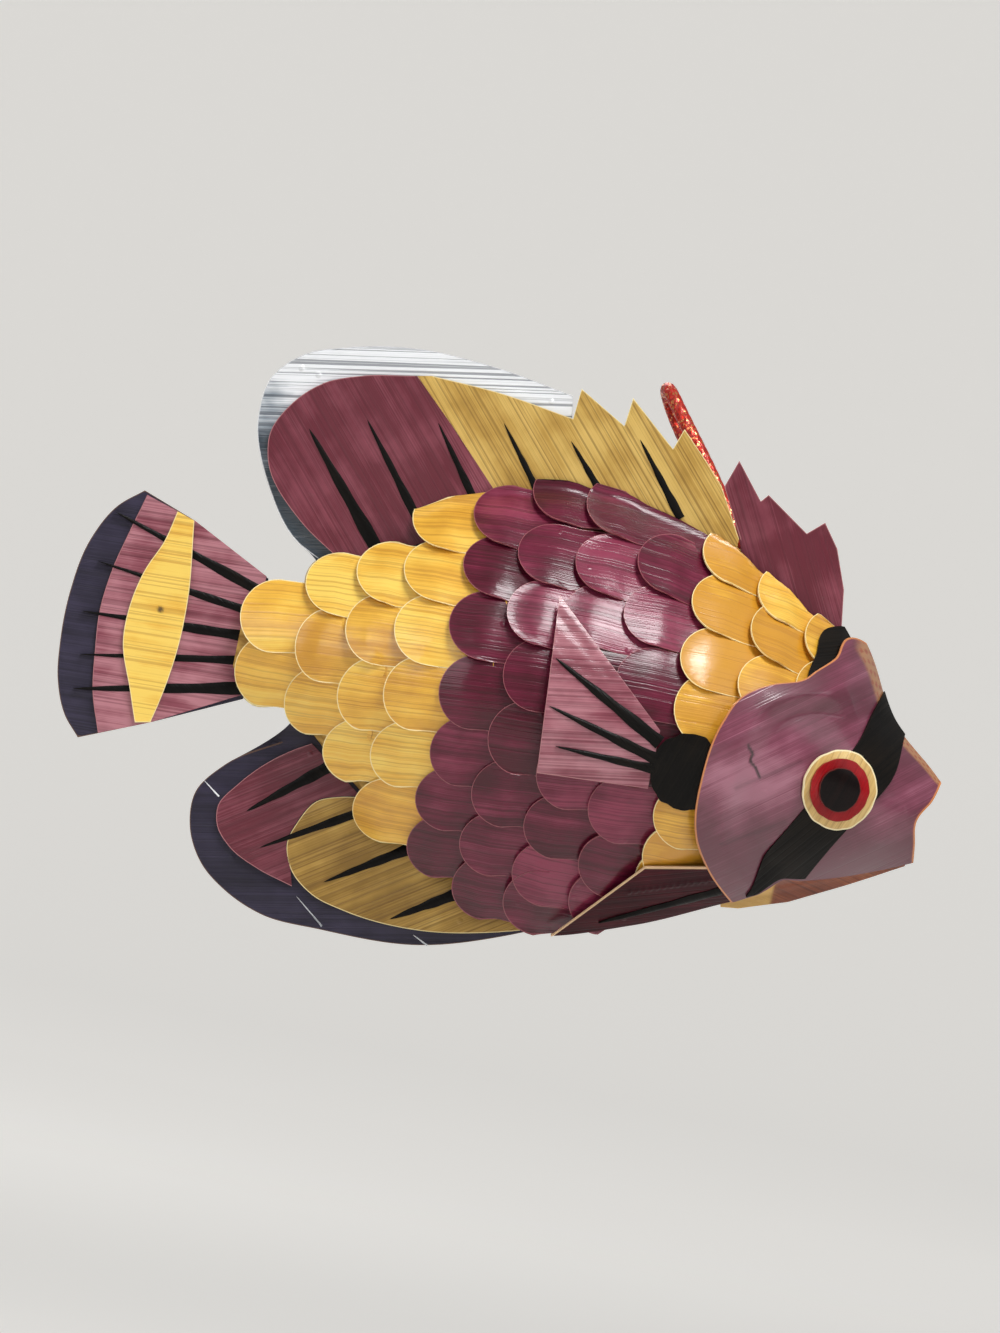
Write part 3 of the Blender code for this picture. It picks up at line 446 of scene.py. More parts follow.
def thread_finish():
    """Red metallic thread: cells of the braid's own UV take a brighter or a darker red."""
    material, tree, shader = blank_finish("cord_thread")
    uv = add(tree, "ShaderNodeUVMap", uv_map="grain").outputs[0]
    cells = add(tree, "ShaderNodeTexVoronoi", {"Vector": uv, "Scale": SPARK_SCALE})
    spark = add(tree, "ShaderNodeSeparateColor", {0: cells.outputs["Color"]}).outputs[0]
    red = mixed(tree, spark, dye(140, 18, 12), dye(228, 56, 36))
    gold = mixed(tree, ramp(tree, spark, 0.82, 0.86), red, dye(236, 150, 96))
    tree.links.new(gold, shader.inputs["Base Color"])
    tree.links.new(ramp(tree, spark, 0.0, 1.0, 0.5, 0.22), shader.inputs["Roughness"])
    tree.links.new(ramp(tree, spark, 0.4, 0.9, 0.1, 0.8), shader.inputs["Metallic"])
    return material


print("cord", round(CORD_D / MM, 2), "mm thick in a loop of", round(LOOP_REACH / MM, 1), "mm")

# %% Path of the loop
def loop_path(steps):
    """The loop's centre line: up one strand, round the bend and down the other.
    The strands part by a smooth step from the knot to the bend, which is half a circle, and the
    loop twists a little about its length by the same step."""
    foot = flank(0.0, CORD_WAY_DOWN, 0.0, LEFT)
    knot = flank(0.0, CORD_WAY_DOWN, KNOT_LIFT, LEFT)
    normal = (knot - foot) * (0, 1, 1)
    normal /= np.linalg.norm(normal)
    forward = np.array((1.0, 0, 0))
    hinge = np.cross(normal, forward)
    up = math.cos(LOOP_LEAN) * normal - math.sin(LOOP_LEAN) * forward
    straight = LOOP_REACH - LOOP_BEND_R
    share = np.linspace(0, 1, steps)
    step = 3 * share**2 - 2 * share**3
    widen = LOOP_ROOT_HALF + (LOOP_BEND_R - LOOP_ROOT_HALF) * step
    bend = np.linspace(0, math.pi, steps)[1:-1]
    top = straight + LOOP_BEND_R * np.sin(bend)
    reach = np.concatenate([share * straight, top, share[::-1] * straight])
    spread = np.concatenate([widen, LOOP_BEND_R * np.cos(bend), -widen[::-1]])
    twist = LOOP_TWIST * np.concatenate([step, np.ones(len(bend)), step[::-1]])[:, None]
    flat = np.cross(up, hinge)
    aside = np.cos(twist) * hinge - np.sin(twist) * flat
    return knot + reach[:, None] * up + spread[:, None] * aside, flat


print("the loop's foot is at", (loop_path(3)[0][0] / MM).round(1), "mm")

# %% Braided cord
BRAID_STRANDS = 3
BRAID_PITCH = 0.0046
BRAID_VALLEY, BRAID_RELIEF = 0.84, 0.16
CAP_RISE = 0.3 * CORD_D


def hanging_cord(around=48, steps=150):
    """A braided tube: round its path, the radius follows the higher of two windings of strands."""
    path, flat = loop_path(steps)
    run = np.append(0, np.cumsum(np.linalg.norm(np.diff(path, axis=0), axis=1)))
    ahead = np.gradient(path, axis=0)
    ahead /= np.linalg.norm(ahead, axis=1, keepdims=True)
    flat = flat - np.sum(flat * ahead, 1, keepdims=True) * ahead
    flat /= np.linalg.norm(flat, axis=1, keepdims=True)
    aside = np.cross(flat, ahead)
    turn = np.linspace(0, 2 * math.pi, around, endpoint=False)
    wind = 2 * math.pi / BRAID_PITCH * run[:, None]
    one = np.cos(BRAID_STRANDS * turn[None] + wind)
    other = np.cos(BRAID_STRANDS * turn[None] - wind)
    radius = CORD_D / 2 * (BRAID_VALLEY + BRAID_RELIEF * np.maximum(np.abs(one), np.abs(other)))
    ring = np.cos(turn)[None, :, None] * aside[:, None] + np.sin(turn)[None, :, None] * flat[:, None]
    points = path[:, None] + radius[..., None] * ring
    rows = len(path)
    place = np.arange(rows * around).reshape(rows, around)
    beside = np.roll(place, -1, axis=1)
    quads = np.stack([place[:-1], beside[:-1], beside[1:], place[1:]], -1).reshape(-1, 4)
    first, last = rows * around, rows * around + 1
    ends = np.concatenate([
        np.stack([np.full(around, first), beside[0], place[0]], -1),
        np.stack([np.full(around, last), place[-1], beside[-1]], -1)])
    if np.sum(np.cross(points[0, 1] - points[0, 0], points[1, 0] - points[0, 0]) * ring[0, 0]) < 0:
        quads, ends = quads[:, ::-1], ends[:, ::-1]
    caps = path[[0, -1]] - ahead[[0, -1]] * np.array([[1], [-1]]) * CAP_RISE
    vertices = np.concatenate([points.reshape(-1, 3), caps])
    mesh = bpy.data.meshes.new("hanging_cord")
    mesh.from_pydata(vertices.tolist(), [], quads.tolist() + ends.tolist())
    uv = np.stack(np.broadcast_arrays(run[:, None], turn[None] * CORD_D / 2), -1).reshape(-1, 2)
    uv = np.concatenate([uv, uv[[0, -1]]]).astype(np.float32)
    corners = np.concatenate([quads.ravel(), ends.ravel()])
    mesh.uv_layers.new(name="grain").data.foreach_set("uv", uv[corners].ravel())
    mesh.shade_smooth()
    cord = dress(bpy.data.objects.new("hanging_cord", mesh), thread_finish(), "loop", ("hang_loop",))
    return run[-1]


print("cord", round(float(hanging_cord() / MM), 1), "mm long")

# %% [markdown]
# ## Scales
# Each row is a file of palm-leaf tabs with round ends. A row nearer the head laps the one behind
# it, and in a row each tab laps the next one down. One curved strip with a wavy edge would be
# quicker, but separate tabs cast their own shadows and catch the light at their own tilt. Each
# tab is a grid: across it the end follows a half circle, and along it the lift falls forwards.

# %% Scale rows
SCALE_ROWS = (
    ("rear_yellow_scales_1", -0.002, (-28.0, -37.4)),
    ("rear_yellow_scales_2", 0.079, (-20.5, -31.0, -40.4)),
    ("rear_yellow_scales_3", 0.149, (-17.0, -26.6, -37.4, -46.8)),
    ("rear_yellow_scales_4", 0.212, (-5.8, -14.9, -25.0, -35.8, -46.2, -56.2)),
    ("mauve_scales_1", 0.289, (-3.2, -12.0, -22.3, -33.2, -43.4, -52.2, -60.0)),
    ("mauve_scales_2", 0.364, (2.6, -8.3, -18.3, -28.5, -39.6, -49.1, -57.7, -65.4)),
    ("mauve_scales_3", 0.438, (2.4, -8.0, -16.5, -25.0, -33.8, -43.6, -53.1, -61.2, -65.8)),
    ("mauve_scales_4", 0.521, (-6.0, -14.6, -26.0, -37.4, -47.8, -57.2, -63.8)),
    ("front_yellow_scales_1", 0.603, (-2.0, -10.6, -19.6, -28.2, -39.0, -46.6, -53.2, -57.6)),
    ("front_yellow_scales_2", 0.688, (-6.6, -13.0, -22.4)),
    ("front_yellow_scales_3", 0.764, (-12.4, -20.6)),
)
LAST_ROW_END = 0.842
print("scales on each side:", sum(len(heights) for _, _, heights in SCALE_ROWS))

# %% What the scales meet
HOOD_REAR = np.array([
    (0.00, 0.845), (0.06, 0.820), (0.16, 0.808), (0.23, 0.787), (0.28, 0.769), (0.33, 0.729),
    (0.38, 0.698), (0.46, 0.677), (0.60, 0.665), (0.77, 0.674), (0.86, 0.696), (1.00, 0.740),
])
FIN_X = np.array((-40.0, -22.0, -8.0, 6.0)) * MM
OVER_BACK = np.array((1.8, 1.4, 0.8, 0.5)) * MM
BELOW_BELLY = np.array((1.0, 0.4, 0.0, 0.0)) * MM


def hood_rear(way):
    """X of the head cover's rear edge, from how far down the flank it is."""
    return station(faired(HOOD_REAR, way)[..., 0])


def beside_fins(x, down, lift, clear, side):
    """A lifted point on the flank; past the back or the belly it turns to run a little along the fin."""
    kept = np.clip(down, edge(x, clear, lift, 0), 1 - edge(x, clear, lift, 1))
    back, belly, _ = lines(x)
    point = flank(x, kept, lift, side)
    past = (kept - down) * (back - belly)
    point[..., 2] += np.clip(past, -np.interp(x, FIN_X, BELOW_BELLY), np.interp(x, FIN_X, OVER_BACK))
    return point


print("the head cover starts", round(float(hood_rear(0.6) / MM), 1), "mm from the cord")

# %% Laying the scales
SCALE_R = 6.0 * MM
SCALE_THICK = 0.28 * MM
SCALE_HIGH, SCALE_LOW = 1.15 * MM, 0.3 * MM
SCALE_TILT = 0.75 * MM
SCALE_CAMBER = 0.12 * MM
SCALE_CURL = 0.22 * MM
CURL_RUN = 3.0 * MM
SCALE_TUCK = 2.2 * MM
CROWN_TUCK = 22.6 * MM
FIN_CLEAR = 1.55 * MM
LAP = 6.0 * MM
ROOT_LAP = 8.0 * MM
LEAST_LENGTH = 0.3 * LAP
LONG_TOP = {"mauve_scales_3": 5.0 * MM}
LEAST_SHORT = 0.86
# Rows nearest the head are darker: partly a duller straw leaf, partly painted shade where the key lamp falls
# strongly.
FRONT_TONE_AND_SHADE = -1.1
ROW_BOW, BOW_MIDDLE, BOW_SPREAD = 1.2 * MM, -40, 14
AIM_X = np.array((-45.0, -20.0, 0.0, 15.0)) * MM
AIM_BACK = np.array((9.0, -2.0, -10.0, -14.0))
AIM_BELLY, AIM_MIDDLE = 9, 4
START_SCATTER, HEIGHT_SCATTER, AIM_SCATTER = 0.25 * MM, 0.2 * MM, 0.03
CURL_SCATTER, LIFT_SCATTER = 0.5, 0.12
SCALE_ACROSS = np.sin(np.linspace(-1, 1, 21) * math.pi / 2)
SCALE_ALONG = np.array((0, 0.012, 0.03, 0.06, 0.12, 0.2, 0.3, 0.42, 0.56, 0.7, 0.85, 1.0))


def scale_row(rank, side, side_name):
    """One side's row of scales. A scale is a tab with a half-round end, laid flat on the flank:
    a runs along it from the tip, b across it, and b shortens in the side view by the slope."""
    name, share, heights = SCALE_ROWS[rank]
    tip = float(station(share))
    ahead = SCALE_ROWS[rank + 1][1] if rank + 1 < len(SCALE_ROWS) else LAST_ROW_END
    next_tip = float(station(ahead))
    count = len(heights)

    def each(values):
        """One value for each scale, shaped to spread over its grid."""
        return np.asarray(values)[:, None, None]

    bow = ROW_BOW * np.exp(-((np.array(heights) - BOW_MIDDLE) / BOW_SPREAD) ** 2)
    start = each(tip + bow + dice.normal(0, START_SCATTER, count))
    middle = each(np.array(heights) * MM + dice.normal(0, HEIGHT_SCATTER, count))
    centre_x, centre = seen_at(start + SCALE_R, middle, SCALE_HIGH + SCALE_THICK)
    back, belly, half = lines(centre_x)
    short = (back - belly) / np.hypot(back - belly, 4 * half * (1 - 2 * centre))
    short = np.maximum(short, LEAST_SHORT)
    height = back + (belly - back) * centre
    swing = np.where(centre < 0.5, np.interp(centre_x, AIM_X, AIM_BACK), AIM_BELLY)
    aim = np.radians(AIM_MIDDLE + swing * (1 - 2 * centre)) + each(dice.normal(0, AIM_SCATTER, count))
    s, v = SCALE_ACROSS[None, None, :], SCALE_ALONG[None, :, None]
    b = SCALE_R * s
    way = np.clip(centre + b * short / (back - belly), 0, 1)
    root = next_tip + ROOT_LAP + each(LONG_TOP.get(name, 0) * (np.arange(count) == 0))
    limit = np.minimum(np.minimum(root, hood_rear(way) + SCALE_TUCK), CROWN_TUCK) - start
    rear = np.minimum(SCALE_R * (1 - np.sqrt(1 - s**2)), limit - LEAST_LENGTH)
    a = rear + (limit - rear) * v
    x = start + a + b * short * np.sin(aim)
    z = height + (a - SCALE_R) * np.sin(aim) - b * short
    down = down_at(x, z)
    base = np.interp(x, (tip + LAP, next_tip), (SCALE_HIGH, SCALE_LOW))
    lift = base + SCALE_TILT / 2 * s * base / SCALE_HIGH + SCALE_CAMBER * (1 - s**2)
    curl = SCALE_CURL * each(1 + dice.normal(0, CURL_SCATTER, count))
    lift = lift + curl * np.clip(1 - (a - rear) / CURL_RUN, 0, 1) ** 2
    lift = lift + each(dice.uniform(0, LIFT_SCATTER, count)) * MM
    inset = SCALE_R - np.hypot(b, np.maximum(SCALE_R - a, 0))
    grain = np.stack(np.broadcast_arrays(a, b), -1) + dice.uniform(0, 3, (count, 1, 1, 2))
    finish = MAUVE_LEAF if name.startswith("mauve") else YELLOW_LEAF
    # Front rows: partly darker leaf, partly painted shade.
    tone = dice.uniform(-1, 1, count) + FRONT_TONE_AND_SHADE * name.startswith("front")
    node = f"{name}_{side_name}"
    leaf_piece("leaf_" + node, beside_fins(x, down, lift, FIN_CLEAR, side),
               beside_fins(x, down, lift + SCALE_THICK, FIN_CLEAR + SCALE_THICK, side), finish, grain,
               inset, each(tone), stands_for=(node,))
    return count


laid = [scale_row(rank, side, name) for side, name in SIDES for rank in range(len(SCALE_ROWS))]
print("scales:", sum(laid), "in", len(laid), "rows")

# %% [markdown]
# ## The head
# One plum leaf covers each side of the head, from the gill edge to the lips. It stands clear of
# the leaves tucked under it, then comes down onto the core. A russet strip closes the chin. The
# cover is one grid over the flank, so its lift, its dents and its wear are all formulas of the
# same two numbers: how far forward, and how far down.

# %% Form of the head cover
TUCK = 4.0 * MM
HOOD_HIGH, HOOD_LOW = 2.80 * MM, 0.30 * MM
HOOD_FALL = 5.5 * MM
CROWN_FALL = 19.4 * MM
CROWN_RUN = 7.0 * MM
HOOD_THICK = 0.33 * MM
HOOD_MOUTH = np.array([(0.00, 1.000), (0.30, 0.990), (0.57, 0.974), (0.80, 0.980), (1.00, 0.985)])
HOOD_FOOT = np.array([(9.5, 0.945), (14.7, 0.935), (21.0, 0.965), (38.0, 0.995)])
SEAM = 0.15 * MM
CROWN_SHARE = 0.25


def smooth_step(value):
    """0 below 0, 1 above 1, and a smooth S between."""
    value = np.clip(value, 0, 1)
    return value * value * (3 - 2 * value)


def hood_lift(x, way):
    """The head cover stands clear of what is tucked under it, then falls onto the core."""
    start = np.minimum(hood_rear(way) + TUCK, CROWN_FALL)
    run = HOOD_FALL + CROWN_RUN * smooth_step(1 - way / CROWN_SHARE)
    return HOOD_HIGH + (HOOD_LOW - HOOD_HIGH) * smooth_step((x - start) / run)


def hood_down(x, way, lift):
    """How far down the flank a point of the head cover is, from the seam on the back to the chin."""
    top, foot = edge(x, SEAM, lift, 0), 1 - edge(x, SEAM, lift, 1)
    share = np.interp(x, HOOD_FOOT[:, 0] * MM, HOOD_FOOT[:, 1])
    return top + (foot - top) * way * (1 - (1 - share) * way**2)


print("the head cover stands off by", round(float(hood_lift(0.0, 0.6) / MM), 1), "mm at the gill")

# %% Head covers
HOOD_GRAIN = math.radians(37)
# Painted highlight on the cheek and painted shade on the lower cover, both carried in the tone.
HOOD_SHEEN_AT, HOOD_SHEEN_R = np.array((9.0, -38.5)) * MM, 8.5 * MM
HOOD_TONE, HOOD_SHEEN, HOOD_PAINTED_SHADE = -0.7, 1.9, 0.8
HOOD_DENT, DENT_SHORT, DENT_LONG = 0.20 * MM, 3.6 * MM, 9 * MM
WORN_WAY, WORN_X = 0.085, 20 * MM
WORN_FADE, WORN_RUN = 0.03, 2 * MM
DOT_PITCH, DOT_SLANT, DOT_ROWS = 0.26 * MM, 0.9 * MM, 180
PAINTED_SHADE_WAY, PAINTED_SHADE_FADE = 0.62, 0.2
LIP_SHARE = 0.985
CRACK = np.array([(7.5, -32.9), (8.6, -34.0), (8.3, -35.2), (9.6, -36.2), (10.6, -37.6)]) * MM
CRACK_HALF, CRACK_FADE, CRACK_DEPTH = 0.34 * MM, 0.22 * MM, 0.1 * MM
SCRATCHES = np.array([((1.4, -35.0), (8.6, -29.6)), ((7.0, -40.1), (16.6, -33.6)),
                      ((6.6, -49.7), (16.4, -43.9))]) * MM
SCRATCH_HALF, SCRATCH_SHARE = 0.6 * MM, 0.35


def flank_grain(point, angle):
    """Grain coordinates of a leaf draped on the flank: its side view, turned to the fibres."""
    return turned(point[..., 0], point[..., 2], angle) + dice.uniform(0, 3, 2)


def near_line(x, z, line):
    """Distance from points to a broken line, each segment taken at its closest place."""
    a, b = line[:-1], line[1:]
    point = np.stack([x, z], -1)[..., None, :]
    share = np.clip(np.sum((point - a) * (b - a), -1) / np.sum((b - a) ** 2, -1), 0, 1)
    return np.linalg.norm(point - a - share[..., None] * (b - a), axis=-1).min(-1)


def head_cover(side, side_name, rows=130, columns=130):
    """Rows run from the gill edge to the lips, columns from the back to the chin. Dents are a
    product of two slow sines; worn spots, lips, crack and scratches are smooth steps of place.
    Its tone adds a painted highlight, a bell round one spot of the cheek, and painted shade that
    darkens the cover towards the chin."""
    way = np.linspace(0, 1, columns)[None, :]
    rear, mouth = hood_rear(way), station(faired(HOOD_MOUTH, way)[..., 0])
    u = np.linspace(0, 1, rows)[:, None] ** 1.1
    x = rear + (mouth - rear) * u
    lift = hood_lift(x, way)
    dent = HOOD_DENT * np.sin(x / DENT_SHORT + 4 * way) * np.sin(9 * way + x / DENT_LONG)
    lift = lift + dent * smooth_step(u / 0.15) * smooth_step((1 - u) / 0.2)
    down = hood_down(x, way, lift)
    spot = flank(x, down, lift, RIGHT)
    spot_x, spot_z = spot[..., 0], spot[..., 2]
    worn = smooth_step((WORN_WAY - way) / WORN_FADE) * smooth_step((x - WORN_X) / WORN_RUN)
    speckle = np.sin(x / DOT_PITCH) * np.sin(DOT_ROWS * way + x / DOT_SLANT)
    dots = smooth_step((speckle - 0.25) / 0.3)
    russet = np.maximum(smooth_step((u - LIP_SHARE) / (1 - LIP_SHARE)) + 0 * way, 0.8 * worn * dots)
    crack = smooth_step((CRACK_HALF - near_line(spot_x, spot_z, CRACK)) / CRACK_FADE)
    # Painted highlight: a bell round one spot; then painted shade darkens the cover towards the chin.
    glow = np.exp(-np.sum((spot[..., ::2] - HOOD_SHEEN_AT) ** 2, -1) / HOOD_SHEEN_R**2)
    tone = HOOD_TONE + HOOD_SHEEN * glow - HOOD_PAINTED_SHADE * smooth_step((way - PAINTED_SHADE_WAY) / PAINTED_SHADE_FADE)
    scratch = [smooth_step(1 - near_line(spot_x, spot_z, ends) / SCRATCH_HALF) for ends in SCRATCHES]
    lift = lift - CRACK_DEPTH * crack
    crack = np.maximum(crack, SCRATCH_SHARE * np.max(scratch, 0))
    inset = np.minimum(x - rear, mouth - x) + 0 * way
    node = f"head_cover_{side_name}"
    leaf_piece("leaf_" + node, flank(x, down, lift, side), flank(x, down, lift + HOOD_THICK, side),
               HEAD_LEAF, flank_grain(spot, HOOD_GRAIN), inset, tone, stands_for=(node,),
               worn=worn, russet=russet, crack=crack)


for side, side_name in SIDES:
    head_cover(side, side_name)
print("head: a cover on each side, creased from a grid of 130 by 130 points")

# %% Chin strip
CHIN_X = np.array((9.0, 12.0, 20.0, 25.0, 31.0, 38.0)) * MM
CHIN_DROP = np.array((0.6, 1.6, 2.1, 1.5, 0.8, 0.2)) * MM
KEEL_SHARE = 0.35
CHIN_CLIMB = 0.10
STRAW_END, STRAW_FADE = 17.5 * MM, 0.8 * MM
CHIN_IN, CHIN_OUT, CHIN_GRAIN = 0.05 * MM, 0.30 * MM, -0.2


def chin_strip(rows=60, columns=33):
    """One leaf folded under the chin. Across it t runs from the right edge over the fold at 0 to
    the left edge; near the fold both sides hang below the belly as a narrow keel."""
    x = np.linspace(CHIN_X[0], CHIN_X[-1], rows)[:, None]
    t = np.linspace(-1, 1, columns)[None, :]
    up_the_side = np.clip((np.abs(t) - KEEL_SHARE) / (1 - KEEL_SHARE), 0, 1)
    keel = np.clip(np.abs(t) / KEEL_SHARE, 0, 1)
    drop = np.interp(x, CHIN_X, CHIN_DROP) * (1 - keel)

    def layer(lift):
        """The folded strip at one distance from the core."""
        point = flank(x, 1 - CHIN_CLIMB * up_the_side + 0 * x, lift, LEFT)
        point[..., 1] *= np.sign(t) * keel
        point[..., 2] -= drop + lift * (1 - keel)
        return point

    outer = layer(CHIN_OUT)
    straw = smooth_step((STRAW_END - x) / STRAW_FADE) + 0 * t
    leaf_piece("leaf_chin_strip", layer(CHIN_IN), outer, RUSSET_LEAF, flank_grain(outer, CHIN_GRAIN),
               1.0, 0.0, stands_for=("chin_strip",), straw=straw)


chin_strip()
print("chin: a strip folded under, up to", round(float(CHIN_DROP.max() / MM), 1), "mm below the core")

# %% [markdown]
# ## Eyes, eye band, nape and gill
# Small papers sit on the head: a black band, three round papers for each eye, a dark patch behind
# the crown and a rough black disc at the root of the side fin. A disc made as a fan has a pole
# where shading pinches, so these discs are a square grid pressed into a circle.

# %% Eye papers
EYE_AT = np.array((24.05, -36.85)) * MM
EYE_PAPERS = (("ring", (6.25, 6.65), 0.45), ("iris", (4.95, 5.2), 0.30), ("pupil", (3.45, 3.65), 0.25))
EYE_SEAT, EYE_THICK, EYE_RAGGED = 0.5 * MM, 0.4, 0.006
PAPER_GRAIN = 1.25
EYE_PAPER = leaf_finish("eye_paper", ((196, 154, 84), (222, 186, 112), (240, 214, 148)),
                        (160, 116, 54), (246, 230, 184), rim_width=0.3, coat=0.4)
RED_PAPER = leaf_finish("red_paper", ((116, 2, 10), (144, 3, 13), (168, 8, 19)),
                        (104, 2, 8), (150, 30, 26), vein_depth=0.2, relief=0.2, coat=0.2, rare=0.95,
                        specular=0.2)
PUPIL_PAPER = leaf_finish("pupil_paper", ((8, 2, 2), (14, 4, 4), (26, 10, 8)),
                          (4, 1, 1), (96, 40, 36), rim_width=0.14, relief=0.2, coat=0.1, specular=0.12)
EYE_FINISHES = {"ring": (EYE_PAPER, "yellow_leaf"), "iris": (RED_PAPER, "red_paper"),
                "pupil": (PUPIL_PAPER, "black_leaf")}


def round_grid(steps):
    """A square grid pressed into a disc: each side's pull shrinks as the other coordinate grows."""
    s = np.sin(np.linspace(-1, 1, steps) * math.pi / 2)
    a, b = np.meshgrid(s, s)
    return a * np.sqrt(1 - b**2 / 2), b * np.sqrt(1 - a**2 / 2)


def paper_disc(name, at, radii, lift, thick, side, finish, dome=0.0, ragged=0.0, steps=64, **who):
    """A paper on the flank that looks round from the side; its dome is a parabola in the distance
    from the middle, and a ragged rim wanders by sines."""
    a, b = round_grid(steps)
    angle, out = np.arctan2(b, a), np.hypot(a, b)
    reach = 1 + ragged * (np.sin(5 * angle + 1) + np.sin(11 * angle) + 0.7 * np.sin(17 * angle))
    x, down = seen_at(at[0] + a * reach * radii[0], at[1] + b * reach * radii[1], lift)
    rise = lift + dome * (1 - out**2)
    leaf_piece(name, flank(x, down, lift, side), flank(x, down, rise + thick, side), finish,
               turned(a * radii[0], b * radii[0], PAPER_GRAIN) + dice.uniform(0, 3, 2),
               (1 - out) * radii[0], 0.0, **who)


def eye(side, side_name):
    """Three papers, each standing on the last: a straw ring, a crimson disc and a black pupil."""
    lift = HOOD_LOW + HOOD_THICK + EYE_SEAT
    for word, radii, dome in EYE_PAPERS:
        finish, stock = EYE_FINISHES[word]
        node = f"eye_{word}_{side_name}"
        paper_disc("leaf_" + node, EYE_AT, np.array(radii) * MM, lift, EYE_THICK * MM, side, finish,
                   dome * MM, EYE_RAGGED, stands_for=(node,), slot=stock)
        lift += (EYE_THICK + 0.6 * dome) * MM


print("papers of an eye:", [word for word, _, _ in EYE_PAPERS])

# %% Band, nape and gill
EYE_BAND_LINE = np.array([(0.00, 0.911), (0.36, 0.896), (0.72, 0.846), (1.00, 0.797)])
EYE_BAND_HALF = 3.9 * MM
EYE_BAND_FLARE = 0.58
EYE_BAND_FOOT = 0.985
EYE_BAND_GRAIN, NAPE_GRAIN = 0.9, 0.3
BAND_THICK = 0.3 * MM
NAPE_FOOT = 0.25
NAPE_SHOW = 3.5 * MM
NAPE_X = (18.4 * MM, 22.0 * MM)
NAPE_LIFT = (2.15 * MM, 0.95 * MM)
CARD_CLEAR = 0.8 * MM
UNDER_HOOD = 2.05 * MM
PAPER_THICK = 0.25 * MM
GILL_AT = np.array((-1.7, -39.2)) * MM
GILL_R = np.array((6.0, 6.4)) * MM
GILL_SEAT, GILL_DOME, GILL_RAGGED = 0.33 * MM, 0.1 * MM, 0.014


def eye_band(side, side_name, rows=16, columns=70):
    """A black band over the head and under the eye, laid on the head cover, wider at the chin."""
    way = np.linspace(0, EYE_BAND_FOOT, columns)[None, :]
    s = np.linspace(-1, 1, rows)[:, None]
    half = EYE_BAND_HALF * (1 + EYE_BAND_FLARE * (way - 0.5))
    x = station(faired(EYE_BAND_LINE, way)[..., 0]) + half * s
    lift = hood_lift(x, way) + HOOD_THICK
    down = hood_down(x, way, lift)
    outer = flank(x, down, lift + BAND_THICK, side)
    node = f"eye_band_{side_name}"
    leaf_piece("leaf_" + node, flank(x, down, lift - BAND_THICK, side), outer, BLACK_LEAF,
               flank_grain(outer, EYE_BAND_GRAIN), (1 - np.abs(s)) * half, 0.5, stands_for=(node,))


def nape_patch(side, side_name, rows=24, columns=24):
    """A dark leaf behind the crown, its rear edge a round crescent, sloping in under the cover."""
    way = np.linspace(0, NAPE_FOOT, columns)[None, :]
    show = NAPE_SHOW * np.cos(math.pi / 2 * (way / NAPE_FOOT) ** 2)
    rear = hood_rear(way) - show
    front = np.minimum(hood_rear(way) + TUCK, CROWN_TUCK)
    x = rear + (front - rear) * np.linspace(0, 1, rows)[:, None]
    lift = np.interp(x, NAPE_X, NAPE_LIFT)
    top = edge(x, CARD_CLEAR, lift, 0)
    down = top + (NAPE_FOOT - top) * way / NAPE_FOOT
    outer = flank(x, down, lift + PAPER_THICK, side)
    node = f"nape_patch_{side_name}"
    leaf_piece("leaf_" + node, flank(x, down, lift, side), outer, BLACK_LEAF,
               flank_grain(outer, NAPE_GRAIN), x - rear, 0.7, stands_for=(node,))


def gill_disc(side, side_name):
    """A rough black paper at the root of the side fin."""
    node = f"gill_disc_{side_name}"
    paper_disc("leaf_" + node, GILL_AT, GILL_R, UNDER_HOOD + GILL_SEAT, PAPER_THICK, side, BLACK_LEAF,
               GILL_DOME, GILL_RAGGED, steps=44, stands_for=(node,))


for side, side_name in SIDES:
    eye_band(side, side_name)
    eye(side, side_name)
    nape_patch(side, side_name)
    gill_disc(side, side_name)
print("papers: eyes, bands, nape patches and gill discs on both sides")

# %% [markdown]
# ## Side fins and belly flaps
# The pectoral fin is a glossy plum fan that stands a little off the scales, with three black
# strips glued on it. The belly flap is a folded leaf with a pale cut edge. Both are draped on the
# flank like the scales, so they follow its swell, and a ripple across the fan breaks its gloss.

# %% Pectoral fin
PECTORAL_ROOT = np.array(((-7.4, -33.4), (-7.4, -43.2))) * MM
PECTORAL_END = np.array(((-28.4, -14.9), (-26.0, -44.5))) * MM
PECTORAL_STAND = 1.0 * MM
# The fan's tone is raised: partly a lighter leaf, partly a painted highlight.
PECTORAL_GRAIN, PECTORAL_TONE_AND_SHEEN = 0.16, 0.5
RIPPLE, RIPPLES = 0.05 * MM, 44
FIN_SPAN = 20 * MM
FIN_THICK = 0.3 * MM


def pectoral_lift(out):
    """Tight on the scales at the root, a little off them at the free end."""
    return UNDER_HOOD + PECTORAL_STAND * out**2


def pectoral_fin(side, side_name, rows=60, columns=48):
    """A fan: straight lines from the root to the free end, rippled across the fibres."""
    out, low = np.linspace(0, 1, columns)[None, :], np.linspace(0, 1, rows)[:, None]
    root = PECTORAL_ROOT[0] + (PECTORAL_ROOT[1] - PECTORAL_ROOT[0]) * low[..., None]
    end = PECTORAL_END[0] + (PECTORAL_END[1] - PECTORAL_END[0]) * low[..., None]
    place = root + (end - root) * out[..., None]
    lift = pectoral_lift(out) + RIPPLE * np.sin(RIPPLES * low) * out
    x, down = seen_at(place[..., 0], place[..., 1], lift)
    outer = flank(x, down, lift + FIN_THICK, side)
    inset = np.minimum(np.minimum(low, 1 - low), 1 - out) * FIN_SPAN
    node = f"pectoral_fin_{side_name}"
    leaf_piece("leaf_" + node, flank(x, down, lift, side), outer, ROSE_LEAF,
               flank_grain(outer, PECTORAL_GRAIN), inset, PECTORAL_TONE_AND_SHEEN, stands_for=(node,),
               slot="mauve_leaf")


print("side fin: free end", round(float(np.ptp(PECTORAL_END[:, 1]) / MM), 1), "mm deep")

